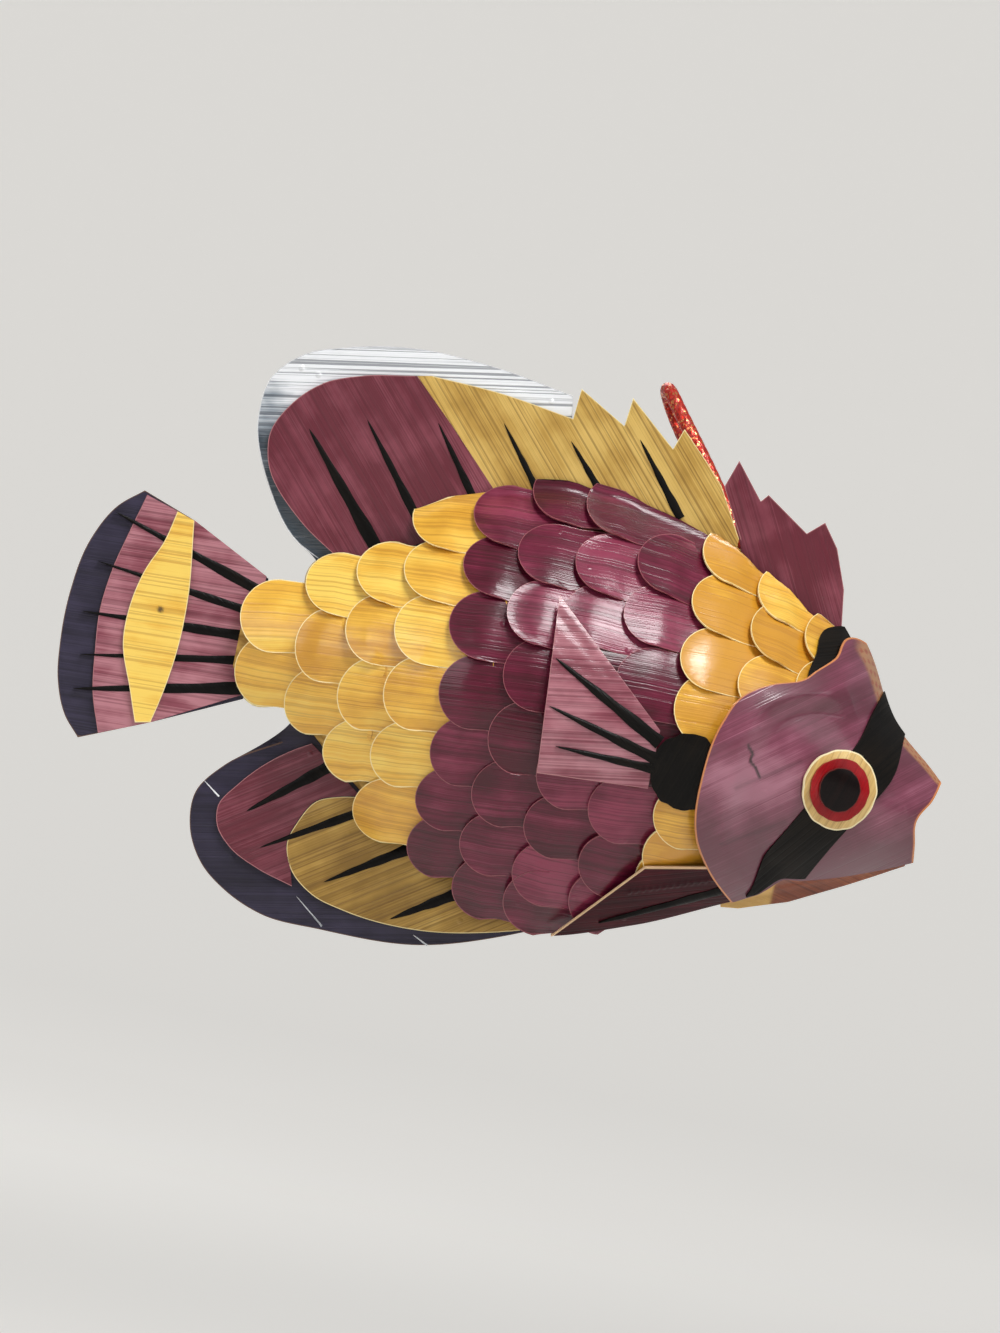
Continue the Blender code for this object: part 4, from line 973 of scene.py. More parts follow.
# %% Belly flap
PELVIC_TOP = np.array([(-17.9, -70.9), (-5.0, -56.1), (12.0, -52.6)]) * MM
PELVIC_TUCK = 3.0 * MM
PELVIC_SEAT, PELVIC_STAND = 0.15 * MM, 0.5 * MM
PELVIC_BELOW, PELVIC_LEAST = 0.3 * MM, 0.1 * MM
PELVIC_WAY = 0.87
PELVIC_GRAIN = 0.3
PELVIC_FOLD = np.array([(-6.9, -60.8), (6.4, -55.9)]) * MM
FOLD_HALF, FOLD_RISE, BEAD_PITCH = 0.4 * MM, 0.3 * MM, 1.1 * MM


def pelvic_lift(along):
    """On the head cover's own layer in front, a little off the scales at the rear point."""
    return UNDER_HOOD + PELVIC_SEAT + PELVIC_STAND * along**2


def pelvic_fin(side, side_name, rows=48, columns=110):
    """Tucked under the head cover, running back to a point on the belly. Its fold is a bell curve
    of the distance from a line, beaded by a cosine along the fish."""
    along, low = np.linspace(0, 1, columns)[None, :], np.linspace(0, 1, rows)[:, None]
    front = hood_rear(PELVIC_WAY + (1 - PELVIC_WAY) * low) + PELVIC_TUCK
    x = front + (PELVIC_TOP[0, 0] - front) * along
    top = np.interp(x, PELVIC_TOP[:, 0], PELVIC_TOP[:, 1])
    foot = np.minimum(lines(x)[1] - PELVIC_BELOW, top - PELVIC_LEAST)
    z = top + (foot - top) * low
    fold = np.exp(-(near_line(x, z, PELVIC_FOLD) / FOLD_HALF) ** 2)
    lift = pelvic_lift(along)
    at_x, down = seen_at(x, z, lift)
    lift = lift + FOLD_RISE * fold * (0.6 + 0.4 * np.cos(2 * math.pi * x / BEAD_PITCH))
    outer = flank(at_x, down, lift + FIN_THICK, side)
    node = f"pelvic_fin_{side_name}"
    leaf_piece("leaf_" + node, flank(at_x, down, lift, side), outer, SHADED_PLUM_FLAP,
               flank_grain(outer, PELVIC_GRAIN), top - z, 0.0, stands_for=(node,), slot="mauve_leaf")


print("belly flap runs to", (PELVIC_TOP[0] / MM).round(1), "mm at its rear point")

# %% Black strips
PECTORAL_RAYS = np.array([((-26.9, -25.2), (-7.0, -35.4)), ((-26.4, -33.2), (-7.0, -38.2)),
                          ((-23.9, -39.6), (-7.0, -39.9))]) * MM
PECTORAL_RAY_WIDTHS = (2.4, 2.0, 1.6)
PELVIC_RAY = np.array([((-10.5, -67.3), (8.5, -57.7))]) * MM
PELVIC_RAY_WIDTH = (1.4,)
STRIP_TAPER, STRIP_RIPPLE = 0.6, 0.08
STRIP_GRAIN = -0.6
STRIP_FOOT, STRIP_EDGE, STRIP_DOME = 0.1, 0.42, 0.3
STRIP_SEEN = 0.4 * MM


def strip_grid(ends, width, steps=28, across=7):
    """Tapered strips: from a pointed tip the half width grows as a root of the way to the base."""
    t = np.linspace(0, 1, steps)[None, :, None]
    s = np.linspace(-1, 1, across)[None, None, :]
    tip, base = ends[:, 0], ends[:, 1]
    aim = (base - tip) / np.linalg.norm(base - tip, axis=1, keepdims=True)
    ripple = 1 + STRIP_RIPPLE * np.sin(19 * t + np.arange(len(ends))[:, None, None])
    half = np.asarray(width)[:, None, None] / 2 * t**STRIP_TAPER * ripple
    centre = tip[:, None, None] + (base - tip)[:, None, None] * t[..., None]
    normal = np.stack([-aim[:, 1], aim[:, 0]], -1)[:, None, None]
    point = centre + normal * (half * s)[..., None]
    dome = (1 - s**2) * np.minimum(1, 6 * t)
    return point[..., 0], point[..., 1], dome, t + 0 * s


def strip_grain(x, z):
    """Grain coordinates of flat strips."""
    return turned(x, z, STRIP_GRAIN)


def draped_strips(name, ends, widths, lift_at, side):
    """Black strips laid on a leaf of the flank; lift_at gives that leaf's lift along a strip."""
    x, z, dome, t = strip_grid(ends, np.array(widths) * MM)
    lift = lift_at(1 - t)
    at_x, down = seen_at(x, z, lift + STRIP_SEEN)
    rise = lift + (STRIP_EDGE + STRIP_DOME * dome) * MM
    leaf_piece(name, flank(at_x, down, lift + STRIP_FOOT * MM, side), flank(at_x, down, rise, side),
               BLACK_LEAF, strip_grain(x, z), 1.0, 0.0)


for side, side_name in SIDES:
    pectoral_fin(side, side_name)
    pelvic_fin(side, side_name)
    draped_strips(f"pectoral_rays_{side_name}", PECTORAL_RAYS, PECTORAL_RAY_WIDTHS, pectoral_lift, side)
    draped_strips(f"pelvic_ray_{side_name}", PELVIC_RAY, PELVIC_RAY_WIDTH, pelvic_lift, side)
print("side fins: pectorals, belly flaps and their strips")

# %% [markdown]
# ## Flat fins
# The back, tail and belly fins are stiff dark cards faced with plum and straw leaf, with black
# rays let in between. Filled curves would give flat plates. A ruled grid, straight lines from one
# edge to the other, can taper to a thin border and wave a little, as cut leaf does.

# %% Fin outlines
DORSAL_HEIGHT = 0.0392
FRONT_DORSAL_HEIGHT = 0.0154
ANAL_HEIGHT = 0.0304
TAIL_LENGTH = 0.0323
TAIL_HALF_SPREAD = 0.0225
TAIL_SEAT = 0.025
DORSAL_ROOT = (0.100, 0.655)
DORSAL_LOBE = [(0.088, 0.03), (0.059, 0.115), (-0.002, 0.42), (-0.036, 0.70), (-0.029, 0.88),
               (0.008, 0.99), (0.065, 0.98), (0.151, 0.867), (0.279, 0.587), (0.388, 0.42)]
DORSAL_TEETH = [(0.397, 0.452), (0.466, 0.316), (0.470, 0.441), (0.539, 0.283), (0.549, 0.383),
                (0.591, 0.290), (0.616, 0.232), (0.655, 0.070)]
DORSAL_NOTCH = (0.394, 0.300)
DORSAL_DIVIDE = [(0.169, 0.717), (0.231, 0.400), (0.309, 0.020), (0.333, -0.100)]
DORSAL_REAR_EDGE = [(0.130, -0.060), (0.100, 0.050), (0.051, 0.230), (-0.010, 0.526), (-0.015, 0.640),
                    (0.006, 0.775), (0.045, 0.840), (0.091, 0.827), (0.166, 0.722)]
DORSAL_TOP_EDGE = [(0.394, 0.320), (0.289, 0.467), (0.190, 0.685)]
BACK_FIN_GAP = 1.4 * MM
FRONT_DORSAL_ROOT = (DORSAL_ROOT[1] + BACK_FIN_GAP / BODY_LENGTH, 0.812)
FRONT_DORSAL_TEETH = [(0.660, 0.17), (0.620, 0.60), (0.633, 0.95), (0.674, 0.70), (0.683, 0.82),
                      (0.746, 0.75), (0.768, 1.00), (0.792, 0.84), (0.813, 0.50), (0.821, 0.12)]
ANAL_ROOT = (0.108, 0.478)
ANAL_LOBE = [(0.095, 0.03), (0.019, 0.378), (-0.013, 0.590), (-0.010, 0.790), (0.016, 0.945),
             (0.055, 1.000), (0.112, 0.945), (0.196, 0.690), (0.336, 0.330), (0.455, 0.040),
             (0.480, 0.000)]
ANAL_YELLOW_REAR = [(0.215, -0.130), (0.185, -0.020), (0.156, 0.115), (0.135, 0.326), (0.127, 0.470),
                    (0.140, 0.570), (0.175, 0.570), (0.225, 0.480), (0.333, 0.255), (0.436, 0.045),
                    (0.470, 0.000)]
ANAL_MAUVE_REAR = [(0.132, -0.110), (0.108, 0.030), (0.042, 0.437), (0.022, 0.600), (0.026, 0.700),
                   (0.050, 0.770), (0.092, 0.760), (0.146, 0.640)]
DIVIDE_ROOM = 0.05 * MM
TAIL_EDGE = [(0.728, 0.916), (0.848, 0.764), (0.954, 0.467), (1.000, 0.067), (0.997, -0.316),
             (0.966, -0.613), (0.892, -0.858), (0.802, -1.000)]
TAIL_UPPER, TAIL_LOWER = (0.440, 0.773), (0.449, -0.778)
TAIL_FACING_EDGE = [(0.709, 0.887), (0.759, 0.600), (0.808, 0.280), (0.827, -0.036),
                    (0.808, -0.333), (0.775, -0.640), (0.703, -0.935)]
TAIL_FACING_ROOT = ((0.0125, 0.475), (0.0125, -0.435))
SPINDLE_REAR = [(0.536, 0.813), (0.570, 0.580), (0.640, 0.330), (0.678, 0.050),
                (0.675, -0.218), (0.585, -0.573), (0.526, -0.800)]
SPINDLE_FRONT = [(0.440, 0.770), (0.387, 0.178), (0.384, -0.129), (0.421, -0.600), (0.446, -0.775)]
print("fin heights:", [round(h / MM, 1) for h in (DORSAL_HEIGHT, FRONT_DORSAL_HEIGHT, ANAL_HEIGHT)], "mm")

# %% From shares to lines
def over_back(points, height):
    """Outline points from stations and from shares of a fin's height above the back."""
    s, h = np.array(points, float).T
    return np.stack([station(s), lines(station(s))[0] + h * height], -1)


def under_belly(points, height):
    """Outline points from stations and from shares of a fin's height below the belly."""
    s, h = np.array(points, float).T
    return np.stack([station(s), lines(station(s))[1] - h * height], -1)


def behind_root(points):
    """Outline points from shares of the tail fin's length and of half its spread."""
    u, v = np.array(points, float).T
    root_x = station(TAIL_SEAT)
    back, belly, _ = lines(root_x)
    return np.stack([root_x - u * TAIL_LENGTH, (back + belly) / 2 + v * TAIL_HALF_SPREAD], -1)


def run_of(points, smooth, per_span=9):
    """A line through points, curved or straight, with as many steps in every span."""
    gaps = np.linalg.norm(np.diff(points, axis=0), axis=1)
    knots = np.append(0, np.cumsum(gaps))
    at = np.interp(np.arange((len(points) - 1) * per_span + 1) / per_span, np.arange(len(points)), knots)
    if smooth:
        return faired(np.column_stack([knots, points]), at)
    return np.stack([np.interp(at, knots, points[:, k]) for k in (0, 1)], -1)


def evened(points, count):
    """The same line with its points at even distances."""
    knots = np.append(0, np.cumsum(np.linalg.norm(np.diff(points, axis=0), axis=1)))
    at = np.linspace(0, knots[-1], count)
    return np.stack([np.interp(at, knots, points[:, k]) for k in (0, 1)], -1)


def root_run(place, first, last, height, count):
    """Points along the back or the belly between two stations."""
    return place(np.column_stack([np.linspace(first, last, count), np.full(count, height)]), 1.0)


print("the back fin's root is", round(float(np.ptp(station(DORSAL_ROOT)) / MM), 1), "mm long")

# %% [markdown]
# ## Making a fin layer
# A layer is a sheet between two lines. The share of the way across is packed closer towards the
# cut edge, so the border can thin out there. All layers of a fin share one gentle wave, so they
# stay as far apart as they are in the frame.

# %% Fin layers
ACROSS = 1 - np.linspace(1, 0, 22) ** 1.6
FACING_IN, FACING_OUT = 0.80 * MM, 1.15 * MM
CARD_HALF = 0.5 * MM
CARD_EDGE_HALF = 0.16 * MM
CARD_TAPER = 5.0 * MM
WAVE, WAVE_X, WAVE_Z = 0.18 * MM, 7 * MM, 9 * MM
SIDE_GRAIN = 0.37
RAY_FOOT = 0.3 * MM
RAY_EDGE, RAY_DOME = 0.04, 0.22
RAY_ROOT = 0.12
RAY_TONE = -0.3


def fin_wave(x, z):
    """A gentle wave of the whole fin, the same for every layer of it."""
    return WAVE * np.sin(x / WAVE_X + 0.8) * np.sin(z / WAVE_Z)


def ruled(inner_line, outer_line, across=ACROSS):
    """A grid of straight lines from points of one line to points of the other."""
    return inner_line[None] + (outer_line - inner_line)[None] * across[:, None, None]


def sheet_faces(flat, near, far):
    """Stand a flat grid upright along the fish, with its two faces at these distances from the
    middle plane, and the fin's own wave."""
    wave = fin_wave(flat[..., 0], flat[..., 1])
    return [np.stack(np.broadcast_arrays(flat[..., 0], y + wave, flat[..., 1]), -1) for y in (near, far)]


def card_half(inset):
    """Half the card's thickness, thinning by a smooth step towards its cut edge."""
    return CARD_EDGE_HALF + (CARD_HALF - CARD_EDGE_HALF) * smooth_step(inset / CARD_TAPER)


def fin_card(name, flat, cut_line, angle, finish, tone=0.0, **marks):
    """The stiff middle of a fin, thinning towards its cut edge."""
    inset = near_line(flat[..., 0], flat[..., 1], cut_line)
    half = card_half(inset)
    far, near = sheet_faces(flat, half, -half)
    grain = turned(flat[..., 0], flat[..., 1], angle)
    leaf_piece("leaf_" + name, far, near, finish, grain, inset, tone, stands_for=(name,), **marks)


def fin_facing(name, flat, cut_line, angle, finish, side, tone=0.0, lift=0.0, **marks):
    """A leaf glued on one side of a card."""
    inset = near_line(flat[..., 0], flat[..., 1], cut_line)
    near, far = sheet_faces(flat, side * (FACING_IN + lift), side * (FACING_OUT + lift))
    grain = turned(flat[..., 0], flat[..., 1], angle) + SIDE_GRAIN * side
    leaf_piece("leaf_" + name, near, far, finish, grain, inset, tone, stands_for=(name,), **marks)


def fin_rays(name, ends, widths, side):
    """Black rays standing from the card out through the facing, domed and pointed."""
    tip, base = ends[:, 0] * MM, ends[:, 1] * MM
    deeper = np.stack([tip, base + RAY_ROOT * (base - tip)], 1)
    x, z, dome, _ = strip_grid(deeper, np.array(widths) * MM)
    wave = fin_wave(x, z)
    rise = FACING_OUT + (RAY_EDGE + RAY_DOME * dome) * MM
    inner = np.stack([x, side * RAY_FOOT + wave, z], -1)
    outer = np.stack([x, side * rise + wave, z], -1)
    leaf_piece(name, inner, outer, BLACK_LEAF, strip_grain(x, z), 1.0, RAY_TONE)


print("fin cards", round(2 * CARD_HALF / MM, 2), "mm thick,", round(2 * CARD_EDGE_HALF / MM, 2), "at the cut")

# %% [markdown]
# ## Back fins
# The big fin is a dark card with a painted silvery reflection that grows lighter towards its top,
# plum behind and straw in front, where its edge is cut into teeth. A small plum fin with teeth
# stands before it. An outline could be drawn as a curve and filled, but then the teeth and the
# border would share no grid. Here the cut edge is one line, curved on the lobe and straight on the
# teeth, and every ruled layer ends on it or inside it.

# %% Back fins
DORSAL_GRAIN = math.radians(-48)
DORSAL_RAYS = np.array([
    ((-75.6, 4.1), (-60.6, -12.9)), ((-66.3, 7.6), (-54.4, -7.2)), ((-54.5, 9.6), (-45.4, -2.4)),
    ((-43.6, 11.8), (-36.3, 2.6)), ((-31.9, 11.2), (-25.5, 4.1)), ((-20.6, 13.9), (-12.1, 3.5))])
DORSAL_RAY_WIDTHS = (2.6, 1.8, 1.6, 1.3, 1.4, 1.6)
DORSAL_SUNK, DORSAL_FACING_SUNK, FRONT_SUNK = -4.5 * MM, -3.9 * MM, -1.0 * MM
CARD_GRAIN, FRONT_GRAIN = math.radians(10), math.radians(-62)
SHEEN_START_Z, SHEEN_RUN = 4 * MM, 12 * MM
PLUM_TONE, FRONT_FIN_TONE, DORSAL_STRAW_TONE = -0.9, -1.0, 0.4


def back_fins():
    """The back fin's card and facings, its rays, and the small fin in front of it."""
    lobe = run_of(over_back(DORSAL_LOBE, DORSAL_HEIGHT), True)
    teeth = run_of(over_back([DORSAL_NOTCH] + DORSAL_TEETH, DORSAL_HEIGHT), False)
    cut = np.concatenate([lobe, teeth])
    root = evened(root_run(over_back, *DORSAL_ROOT, DORSAL_SUNK, 60), len(cut))
    sheet = ruled(root, cut)
    # Painted reflection: the card's tone rises with height, so it is lighter towards the top.
    sheen_rise = np.clip((sheet[..., 1] - SHEEN_START_Z) / SHEEN_RUN, -1, 1)
    fin_card("dorsal_fin_card", sheet, cut, CARD_GRAIN, PAINTED_SHEEN_CARD, sheen_rise, slot="indigo_card")
    divide = run_of(over_back(DORSAL_DIVIDE[::-1], DORSAL_HEIGHT), False, 40)
    rear = evened(run_of(over_back(DORSAL_REAR_EDGE, DORSAL_HEIGHT), True), len(divide))
    room = np.array((DIVIDE_ROOM, 0))
    top = run_of(over_back(DORSAL_TOP_EDGE[::-1], DORSAL_HEIGHT), True)
    saw = run_of(over_back(DORSAL_TEETH, DORSAL_HEIGHT), False)
    front_cut = np.concatenate([evened(divide, 30) + room, top, saw])
    first = DORSAL_DIVIDE[-1][0] + DIVIDE_ROOM / BODY_LENGTH
    foot = evened(root_run(over_back, first, DORSAL_ROOT[1], DORSAL_FACING_SUNK, 60), len(front_cut))
    for side, side_name in SIDES:
        fin_facing(f"dorsal_rear_facing_{side_name}", ruled(divide, rear), rear, DORSAL_GRAIN,
                   ROSE_LEAF, side, PLUM_TONE, slot="mauve_leaf")
        fin_facing(f"dorsal_front_facing_{side_name}", ruled(foot, front_cut), np.concatenate([top, saw]),
                   DORSAL_GRAIN, STRAW_LEAF, side, DORSAL_STRAW_TONE, slot="yellow_leaf")
        fin_rays(f"dorsal_rays_{side_name}", DORSAL_RAYS, DORSAL_RAY_WIDTHS, side)
    saw = run_of(over_back(FRONT_DORSAL_TEETH, FRONT_DORSAL_HEIGHT), False)
    root = evened(root_run(over_back, *FRONT_DORSAL_ROOT, FRONT_SUNK, 30), len(saw))
    fin_card("front_dorsal_fin", ruled(root, saw), saw, FRONT_GRAIN, ROSE_LEAF, FRONT_FIN_TONE,
             slot="mauve_leaf")


back_fins()
print("back fins: two cards, four facings and", 2 * len(DORSAL_RAYS), "rays")

# %% [markdown]
# ## Tail fin
# The tail is a dark fan with a plum facing, five black rays and a straw spindle glued across it.
# Its outline joins two straight sides and a bowed end. The spindle lies highest, so it is ruled
# between its own two edges and lifted by more than a ray stands out of the facing.

# %% Tail fin
TAIL_RAYS = np.array([
    ((-104.7, -16.4), (-79.8, -23.9)), ((-105.7, -25.2), (-80.6, -28.0)), ((-106.5, -34.0), (-79.7, -32.5)),
    ((-105.4, -41.2), (-80.5, -36.9)), ((-105.4, -47.1), (-79.2, -41.5))])
TAIL_RAY_WIDTHS = (2.0, 1.6, 2.0, 1.5, 2.2)
TAIL_GRAIN = 0.05
TAIL_INSET = 0.3 * MM
# The tail facing's tone is raised: partly a lighter leaf, partly a painted highlight.
TAIL_CARD_TONE, TAIL_TONE_AND_SHEEN, SPINDLE_TONE = 0.5, 0.7, 1.0
SPINDLE_LIFT = 0.75 * MM
SPINDLE_ROWS, SPINDLE_STEPS = 30, 110
KNOT_AT = np.array((-93.7, -31.0)) * MM
KNOT_R, KNOT_FADE = 0.7 * MM, 0.4 * MM


def tail_fin():
    """The tail's card, plum facings, straw spindles and rays."""
    cut = run_of(behind_root([TAIL_UPPER] + TAIL_EDGE[:1]), False)
    cut = np.concatenate([cut[:-1], run_of(behind_root(TAIL_EDGE), True)])
    cut = np.concatenate([cut[:-1], run_of(behind_root([TAIL_EDGE[-1], TAIL_LOWER]), False)])
    root_x = station(TAIL_SEAT)
    back, belly, _ = lines(root_x)
    root = np.linspace((root_x, back - TAIL_INSET), (root_x, belly + TAIL_INSET), len(cut))
    fin_card("tail_fin_card", ruled(root, cut), cut, TAIL_GRAIN, INDIGO_CARD, TAIL_CARD_TONE)
    edge_line = run_of(behind_root(TAIL_FACING_EDGE), True)
    upper = run_of(behind_root([TAIL_UPPER, TAIL_FACING_EDGE[0]]), False)
    lower = run_of(behind_root([TAIL_FACING_EDGE[-1], TAIL_LOWER]), False)
    facing_cut = np.concatenate([upper[:-1], edge_line, lower[1:]])
    facing_root = np.linspace(*behind_root(TAIL_FACING_ROOT), len(facing_cut))
    rear = evened(run_of(behind_root(SPINDLE_REAR), True), SPINDLE_STEPS)
    front = evened(run_of(behind_root(SPINDLE_FRONT), True), SPINDLE_STEPS)
    spindle = ruled(front, rear, np.linspace(0, 1, SPINDLE_ROWS))
    knot = smooth_step((KNOT_R - np.linalg.norm(spindle - KNOT_AT, axis=-1)) / KNOT_FADE)
    for side, side_name in SIDES:
        fin_facing(f"tail_facing_{side_name}", ruled(facing_root, facing_cut), edge_line, TAIL_GRAIN,
                   ROSE_LEAF, side, TAIL_TONE_AND_SHEEN, slot="mauve_leaf")
        fin_facing(f"tail_spindle_{side_name}", spindle, np.concatenate([rear, front[::-1]]), TAIL_GRAIN,
                   YELLOW_LEAF, side, SPINDLE_TONE, SPINDLE_LIFT, knot=knot)
        fin_rays(f"tail_rays_{side_name}", TAIL_RAYS, TAIL_RAY_WIDTHS, side)


tail_fin()
print("tail: card, facings, spindles and", 2 * len(TAIL_RAYS), "rays")

# %% [markdown]
# ## Belly fin
# Under the belly stands a dark card with a plum facing behind and a straw one in front, four rays,
# and three pale strips on its border that are painted glints. The two facings must not cross, so
# they share one dividing line, and a hair's breadth is left between them.

# %% Belly fin
ANAL_GRAIN = math.radians(34)
ANAL_RAYS = np.array([
    ((-72.5, -61.3), (-61.3, -51.8)), ((-69.0, -66.8), (-54.6, -58.0)), ((-57.3, -70.3), (-45.7, -62.7)),
    ((-45.1, -74.1), (-35.0, -67.6))])
BORDER_GLINTS = np.array([((-80.9, -57.4), (-77.5, -59.8)), ((-61.3, -73.5), (-56.0, -77.6)),
                  ((-40.7, -75.8), (-37.9, -77.1))]) * MM
ANAL_RAY_WIDTHS = (2.2, 1.7, 1.9, 2.2)
ANAL_CARD_GRAIN = 0.2
ANAL_SUNK, ANAL_FACING_SUNK = -8.5 * MM, -4.3 * MM
ANAL_STRAW_TONE, GLINT_TONE = -0.5, 0.3
GLINT_WIDTH = 0.3 * MM
GLINT_LIFTS = (-0.05 * MM, 0.06 * MM)
DIVIDE_POINTS = 6


def belly_fin():
    """The anal fin's card, its plum and straw facings, its rays and the painted glints on its border."""
    cut = run_of(under_belly(ANAL_LOBE, ANAL_HEIGHT), True, 28)
    root = evened(root_run(under_belly, *ANAL_ROOT, ANAL_SUNK, 60), len(cut))
    fin_card("anal_fin_card", ruled(root, cut), cut, ANAL_CARD_GRAIN, INDIGO_CARD)
    straw_cut = run_of(under_belly(ANAL_YELLOW_REAR, ANAL_HEIGHT), True)
    first, last = ANAL_YELLOW_REAR[0][0], ANAL_YELLOW_REAR[-1][0]
    straw_root = root_run(under_belly, first, last, ANAL_FACING_SUNK, len(straw_cut))
    shifted = [(s - 2 * DIVIDE_ROOM / BODY_LENGTH, h) for s, h in ANAL_YELLOW_REAR[:DIVIDE_POINTS]]
    divide = run_of(under_belly(shifted, ANAL_HEIGHT), True)
    plum_cut = evened(run_of(under_belly(ANAL_MAUVE_REAR, ANAL_HEIGHT), True), len(divide))
    x, z, _, _ = strip_grid(BORDER_GLINTS, np.full(len(BORDER_GLINTS), GLINT_WIDTH))
    half = card_half(near_line(x, z, cut))
    for side, side_name in SIDES:
        # Painted glints: thin pale strips on the card's border, in the silvery painted-reflection finish.
        glint_faces = [np.stack([x, side * (half + lift) + fin_wave(x, z), z], -1) for lift in GLINT_LIFTS]
        leaf_piece(f"anal_painted_glints_{side_name}", *glint_faces, PAINTED_SHEEN_CARD, strip_grain(x, z), 1.0, GLINT_TONE,
                   slot="indigo_card")
        fin_facing(f"anal_front_facing_{side_name}", ruled(straw_root, straw_cut), straw_cut, ANAL_GRAIN,
                   STRAW_LEAF, side, ANAL_STRAW_TONE, slot="yellow_leaf")
        fin_facing(f"anal_rear_facing_{side_name}", ruled(divide, plum_cut), plum_cut, ANAL_GRAIN,
                   ROSE_LEAF, side, PLUM_TONE, slot="mauve_leaf")
        fin_rays(f"anal_rays_{side_name}", ANAL_RAYS, ANAL_RAY_WIDTHS, side)


belly_fin()
print("belly fin: card, facings and", 2 * len(ANAL_RAYS), "rays")

# %% [markdown]
# ## Glue and core
# The cord's ends stand in a blob of clear glue, and behind the lips the paper core can be seen.
# The glue is a round grid with a lumpy dome. The core is the body's lens once more, a little inside
# the leaves, with a fibrous paper finish read from the object's coordinates.

# %% Glue
GLUE_LUMPS = 700.0
GLUE_ROUND = 0.05
GLUE_FOOT, GLUE_EDGE, GLUE_DOME = 1.7 * MM, 2.2, 2.4
GLUE_ROUGH, GLUE_CLEAR, GLUE_IOR = 0.14, 0.55, 1.48
BUMP_DEPTH = 0.0004


def glue_finish():
    """Clear amber glue: light goes through it, and slow noise makes its surface lumpy."""
    material, tree, shader = blank_finish("clear_glue")
    place = add(tree, "ShaderNodeTexCoord").outputs["Object"]
    lumps = add(tree, "ShaderNodeTexNoise", {"Vector": place, "Scale": GLUE_LUMPS, "Detail": 2.0}).outputs[0]
    colour = mixed(tree, lumps, dye(196, 150, 92), dye(236, 214, 170))
    tree.links.new(colour, shader.inputs["Base Color"])
    bump = add(tree, "ShaderNodeBump", {"Strength": 0.5, "Distance": BUMP_DEPTH, "Height": lumps})
    tree.links.new(bump.outputs[0], shader.inputs["Normal"])
    shader.inputs["Roughness"].default_value = GLUE_ROUGH
    shader.inputs["Transmission Weight"].default_value = GLUE_CLEAR
    shader.inputs["IOR"].default_value = GLUE_IOR
    return material


def glue_blob(steps=26):
    """A lumpy dome of glue round the cord's ends, on the left beside the back fin."""
    a, b = round_grid(steps)
    reach = PAD_R * (1 + GLUE_ROUND * np.sin(3 * np.arctan2(b, a)))
    back, belly, half = lines(0.0)
    run = math.hypot(back - belly, 4 * half * (1 - 2 * CORD_WAY_DOWN))
    x, down = a * reach, CORD_WAY_DOWN - b * reach / run
    rise = (GLUE_EDGE + GLUE_DOME * (1 - a**2 - b**2)) * MM
    leaf_piece("glue_blob", flank(x, down, GLUE_FOOT, LEFT), flank(x, down, rise, LEFT), glue_finish(),
               np.stack([x, b * reach], -1), stands_for=("cord_glue_pad",))


glue_blob()
print("glue blob", round(2 * PAD_R / MM, 1), "mm across")

# %% Core
CORE_X = np.array((-81.0, -66.0, -30.0, -18.0)) * MM
CORE_IN = np.array((3.0, 4.5, 4.5, 0.8)) * MM
CORE_ENDS = (0.002, 0.955)
CORE_UNDER, CORE_EDGE = 0.6 * MM, 0.2 * MM
FIBRE_SCALE = (120, 900, 900)
CORE_ROUGH = 0.85


def core_finish():
    """Rolled paper: fibres along the fish, from noise drawn out in X."""
    material, tree, shader = blank_finish("core_paper")
    place = add(tree, "ShaderNodeTexCoord").outputs["Object"]
    long_way = add(tree, "ShaderNodeMapping", {"Vector": place, "Scale": FIBRE_SCALE}).outputs[0]
    fibre = add(tree, "ShaderNodeTexNoise", {"Vector": long_way, "Scale": 1.0, "Detail": 4.0}).outputs[0]
    colour = mixed(tree, ramp(tree, fibre, 0.25, 0.75), dye(158, 116, 52), dye(228, 184, 98))
    tree.links.new(colour, shader.inputs["Base Color"])
    bump = add(tree, "ShaderNodeBump", {"Strength": 0.6, "Distance": BUMP_DEPTH, "Height": fibre})
    tree.links.new(bump.outputs[0], shader.inputs["Normal"])
    shader.inputs["Roughness"].default_value = CORE_ROUGH
    return material


def paper_core(rows=90, columns=40):
    """The lens again, a little smaller, drawn in beside the tail and where the fins stand in it."""
    x = np.linspace(*station(CORE_ENDS), rows)[:, None]
    down = np.linspace(0, 1, columns)[None, :]
    back, belly, half = lines(x)
    trim = np.interp(x, CORE_X, CORE_IN)
    back, belly = back - trim, belly + trim
    width = CORE_EDGE + 4 * (half - CORE_UNDER).clip(0) * down * (1 - down)
    x, y, z = np.broadcast_arrays(x, width, back + (belly - back) * down)
    leaf_piece("paper_core", np.stack([x, y, z], -1), np.stack([x, -y, z], -1), core_finish(),
               np.stack([x, z], -1), stands_for=("body_core",))


paper_core()
print("core from", *(round(float(station(end) / MM), 1) for end in CORE_ENDS), "mm along the fish")

# %% [markdown]
# ## Stage and light
# The fish hangs over a round pale floor, whose rim curves up into a wall all round, so no line
# crosses the picture from any side. The wall is drawn for the camera only: it takes no light from
# the fish. The main soft box hangs above the camera, where it draws a streak of gloss down the
# flank. Three weaker ones stand at the sides and behind, to fill the shade.

# %% Floor and wall
FLOOR_Z = -0.17
FLOOR_R = 2.2
BEND_R = 0.8
WALL_TOP = 3.0
PALE = (226, 224, 220)
PALE_ROUGH = 0.9
GLOW_START, GLOW_STOP, GLOW = 0.4, 1.6, 0.55


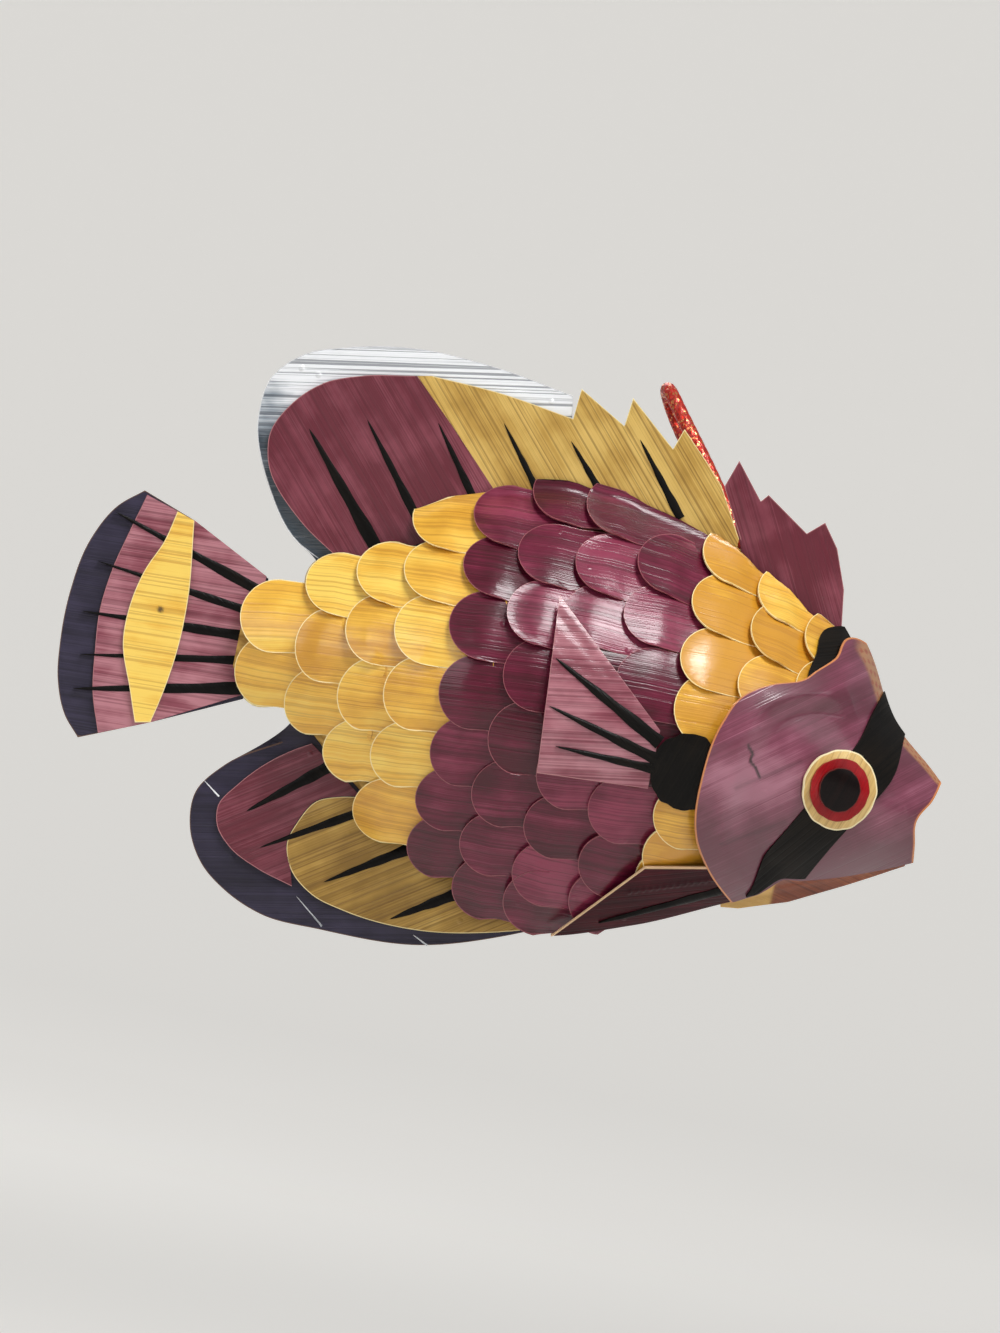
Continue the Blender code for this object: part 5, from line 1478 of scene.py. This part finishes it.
def pale_finish():
    """Pale paint: far from the fish it glows a little, and a camera behind it looks through."""
    material, tree, shader = blank_finish("pale_sweep")
    shader.inputs["Base Color"].default_value = dye(*PALE)
    shader.inputs["Emission Color"].default_value = dye(*PALE)
    shader.inputs["Roughness"].default_value = PALE_ROUGH
    place = add(tree, "ShaderNodeTexCoord").outputs["Object"]
    away = add(tree, "ShaderNodeVectorMath", {0: place}, operation="LENGTH").outputs["Value"]
    ray = add(tree, "ShaderNodeLightPath").outputs
    mirrored = math_node(tree, "MAXIMUM", ray["Is Glossy Ray"], ray["Is Transmission Ray"])
    seen = math_node(tree, "MAXIMUM", ray["Is Camera Ray"], mirrored)
    glow = math_node(tree, "MULTIPLY", seen, ramp(tree, away, GLOW_START, GLOW_STOP, 0.0, GLOW))
    tree.links.new(glow, shader.inputs["Emission Strength"])
    behind = add(tree, "ShaderNodeNewGeometry").outputs["Backfacing"]
    through = math_node(tree, "MULTIPLY", ray["Is Camera Ray"], behind)
    clear = add(tree, "ShaderNodeBsdfTransparent").outputs[0]
    paint = add(tree, "ShaderNodeMixShader", {0: through, 1: shader.outputs[0], 2: clear})
    tree.links.new(paint.outputs[0], tree.nodes["Material Output"].inputs["Surface"])
    return material


def stage_piece(name, points, faces, finish):
    """A piece of the stage, which is no part of the fish."""
    mesh = bpy.data.meshes.new(name)
    mesh.from_pydata(points.reshape(-1, 3).tolist(), [], faces)
    mesh.shade_smooth()
    mesh.materials.append(finish)
    piece = bpy.data.objects.new(name, mesh)
    bpy.context.scene.collection.objects.link(piece)
    return piece


def floor_and_wall(around=128, steps=40):
    """A disc, and a profile of a quarter circle and an upright carried round its rim."""
    turn = np.linspace(0, 2 * math.pi, around, endpoint=False)
    ring = np.stack([np.cos(turn), np.sin(turn), np.zeros(around)], -1)
    finish = pale_finish()
    stage_piece("floor", FLOOR_R * ring + (0, 0, FLOOR_Z), [list(range(around))], finish)
    rise = np.linspace(0, math.pi / 2, steps)
    radius = FLOOR_R + BEND_R * np.append(np.sin(rise), 1)
    height = FLOOR_Z + np.append(BEND_R * (1 - np.cos(rise)), WALL_TOP)
    points = radius[:, None, None] * ring + height[:, None, None] * np.array((0, 0, 1))
    place = np.arange(len(radius) * around).reshape(-1, around)
    beside = np.roll(place, -1, axis=1)
    quads = np.stack([place[:-1], place[1:], beside[1:], beside[:-1]], -1).reshape(-1, 4)
    wall = stage_piece("backdrop", points, quads.tolist(), finish)
    for ray in ("diffuse", "glossy", "transmission", "shadow"):
        setattr(wall, "visible_" + ray, False)


floor_and_wall()
print("floor", 2 * FLOOR_R, "m across,", round(-FLOOR_Z / MM), "mm below the cord")

# %% Lamps and world
LAMP_AIM = np.array((-0.035, 0, -0.03))
LAMPS = (("key", (0.20, -0.52, 0.92), 0.40, 9.5), ("side", (0.9, -0.5, 0.5), 0.6, 1.1),
         ("tail_side", (-0.8, -0.9, 0.45), 0.6, 2.6), ("back", (-0.3, 0.9, 0.6), 0.6, 3.0))
WORLD_LIGHT = 0.30


def soft_box(name, place, size, power):
    """A square area lamp that looks at the middle of the fish."""
    data = bpy.data.lights.new(name, "AREA")
    data.shape = "SQUARE"
    data.size = size
    data.energy = power
    lamp = bpy.data.objects.new(name, data)
    back = np.array(place) - LAMP_AIM
    back /= np.linalg.norm(back)
    right = np.cross((0, 0, 1), back)
    right /= np.linalg.norm(right)
    up = np.cross(back, right)
    lamp.matrix_world = np.array([(*right, 0), (*up, 0), (*back, 0), (*place, 1)]).tolist()
    bpy.context.scene.collection.objects.link(lamp)


for lamp in LAMPS:
    soft_box(*lamp)
world = bpy.data.worlds.new("pale_world")
world.use_nodes = True
world.node_tree.nodes["Background"].inputs["Color"].default_value = (1.0, 1.0, 1.0, 1.0)
world.node_tree.nodes["Background"].inputs["Strength"].default_value = WORLD_LIGHT
bpy.context.scene.world = world
bpy.context.scene.view_settings.view_transform = "Standard"
print("stage lit by", len(bpy.data.lights), "soft boxes")
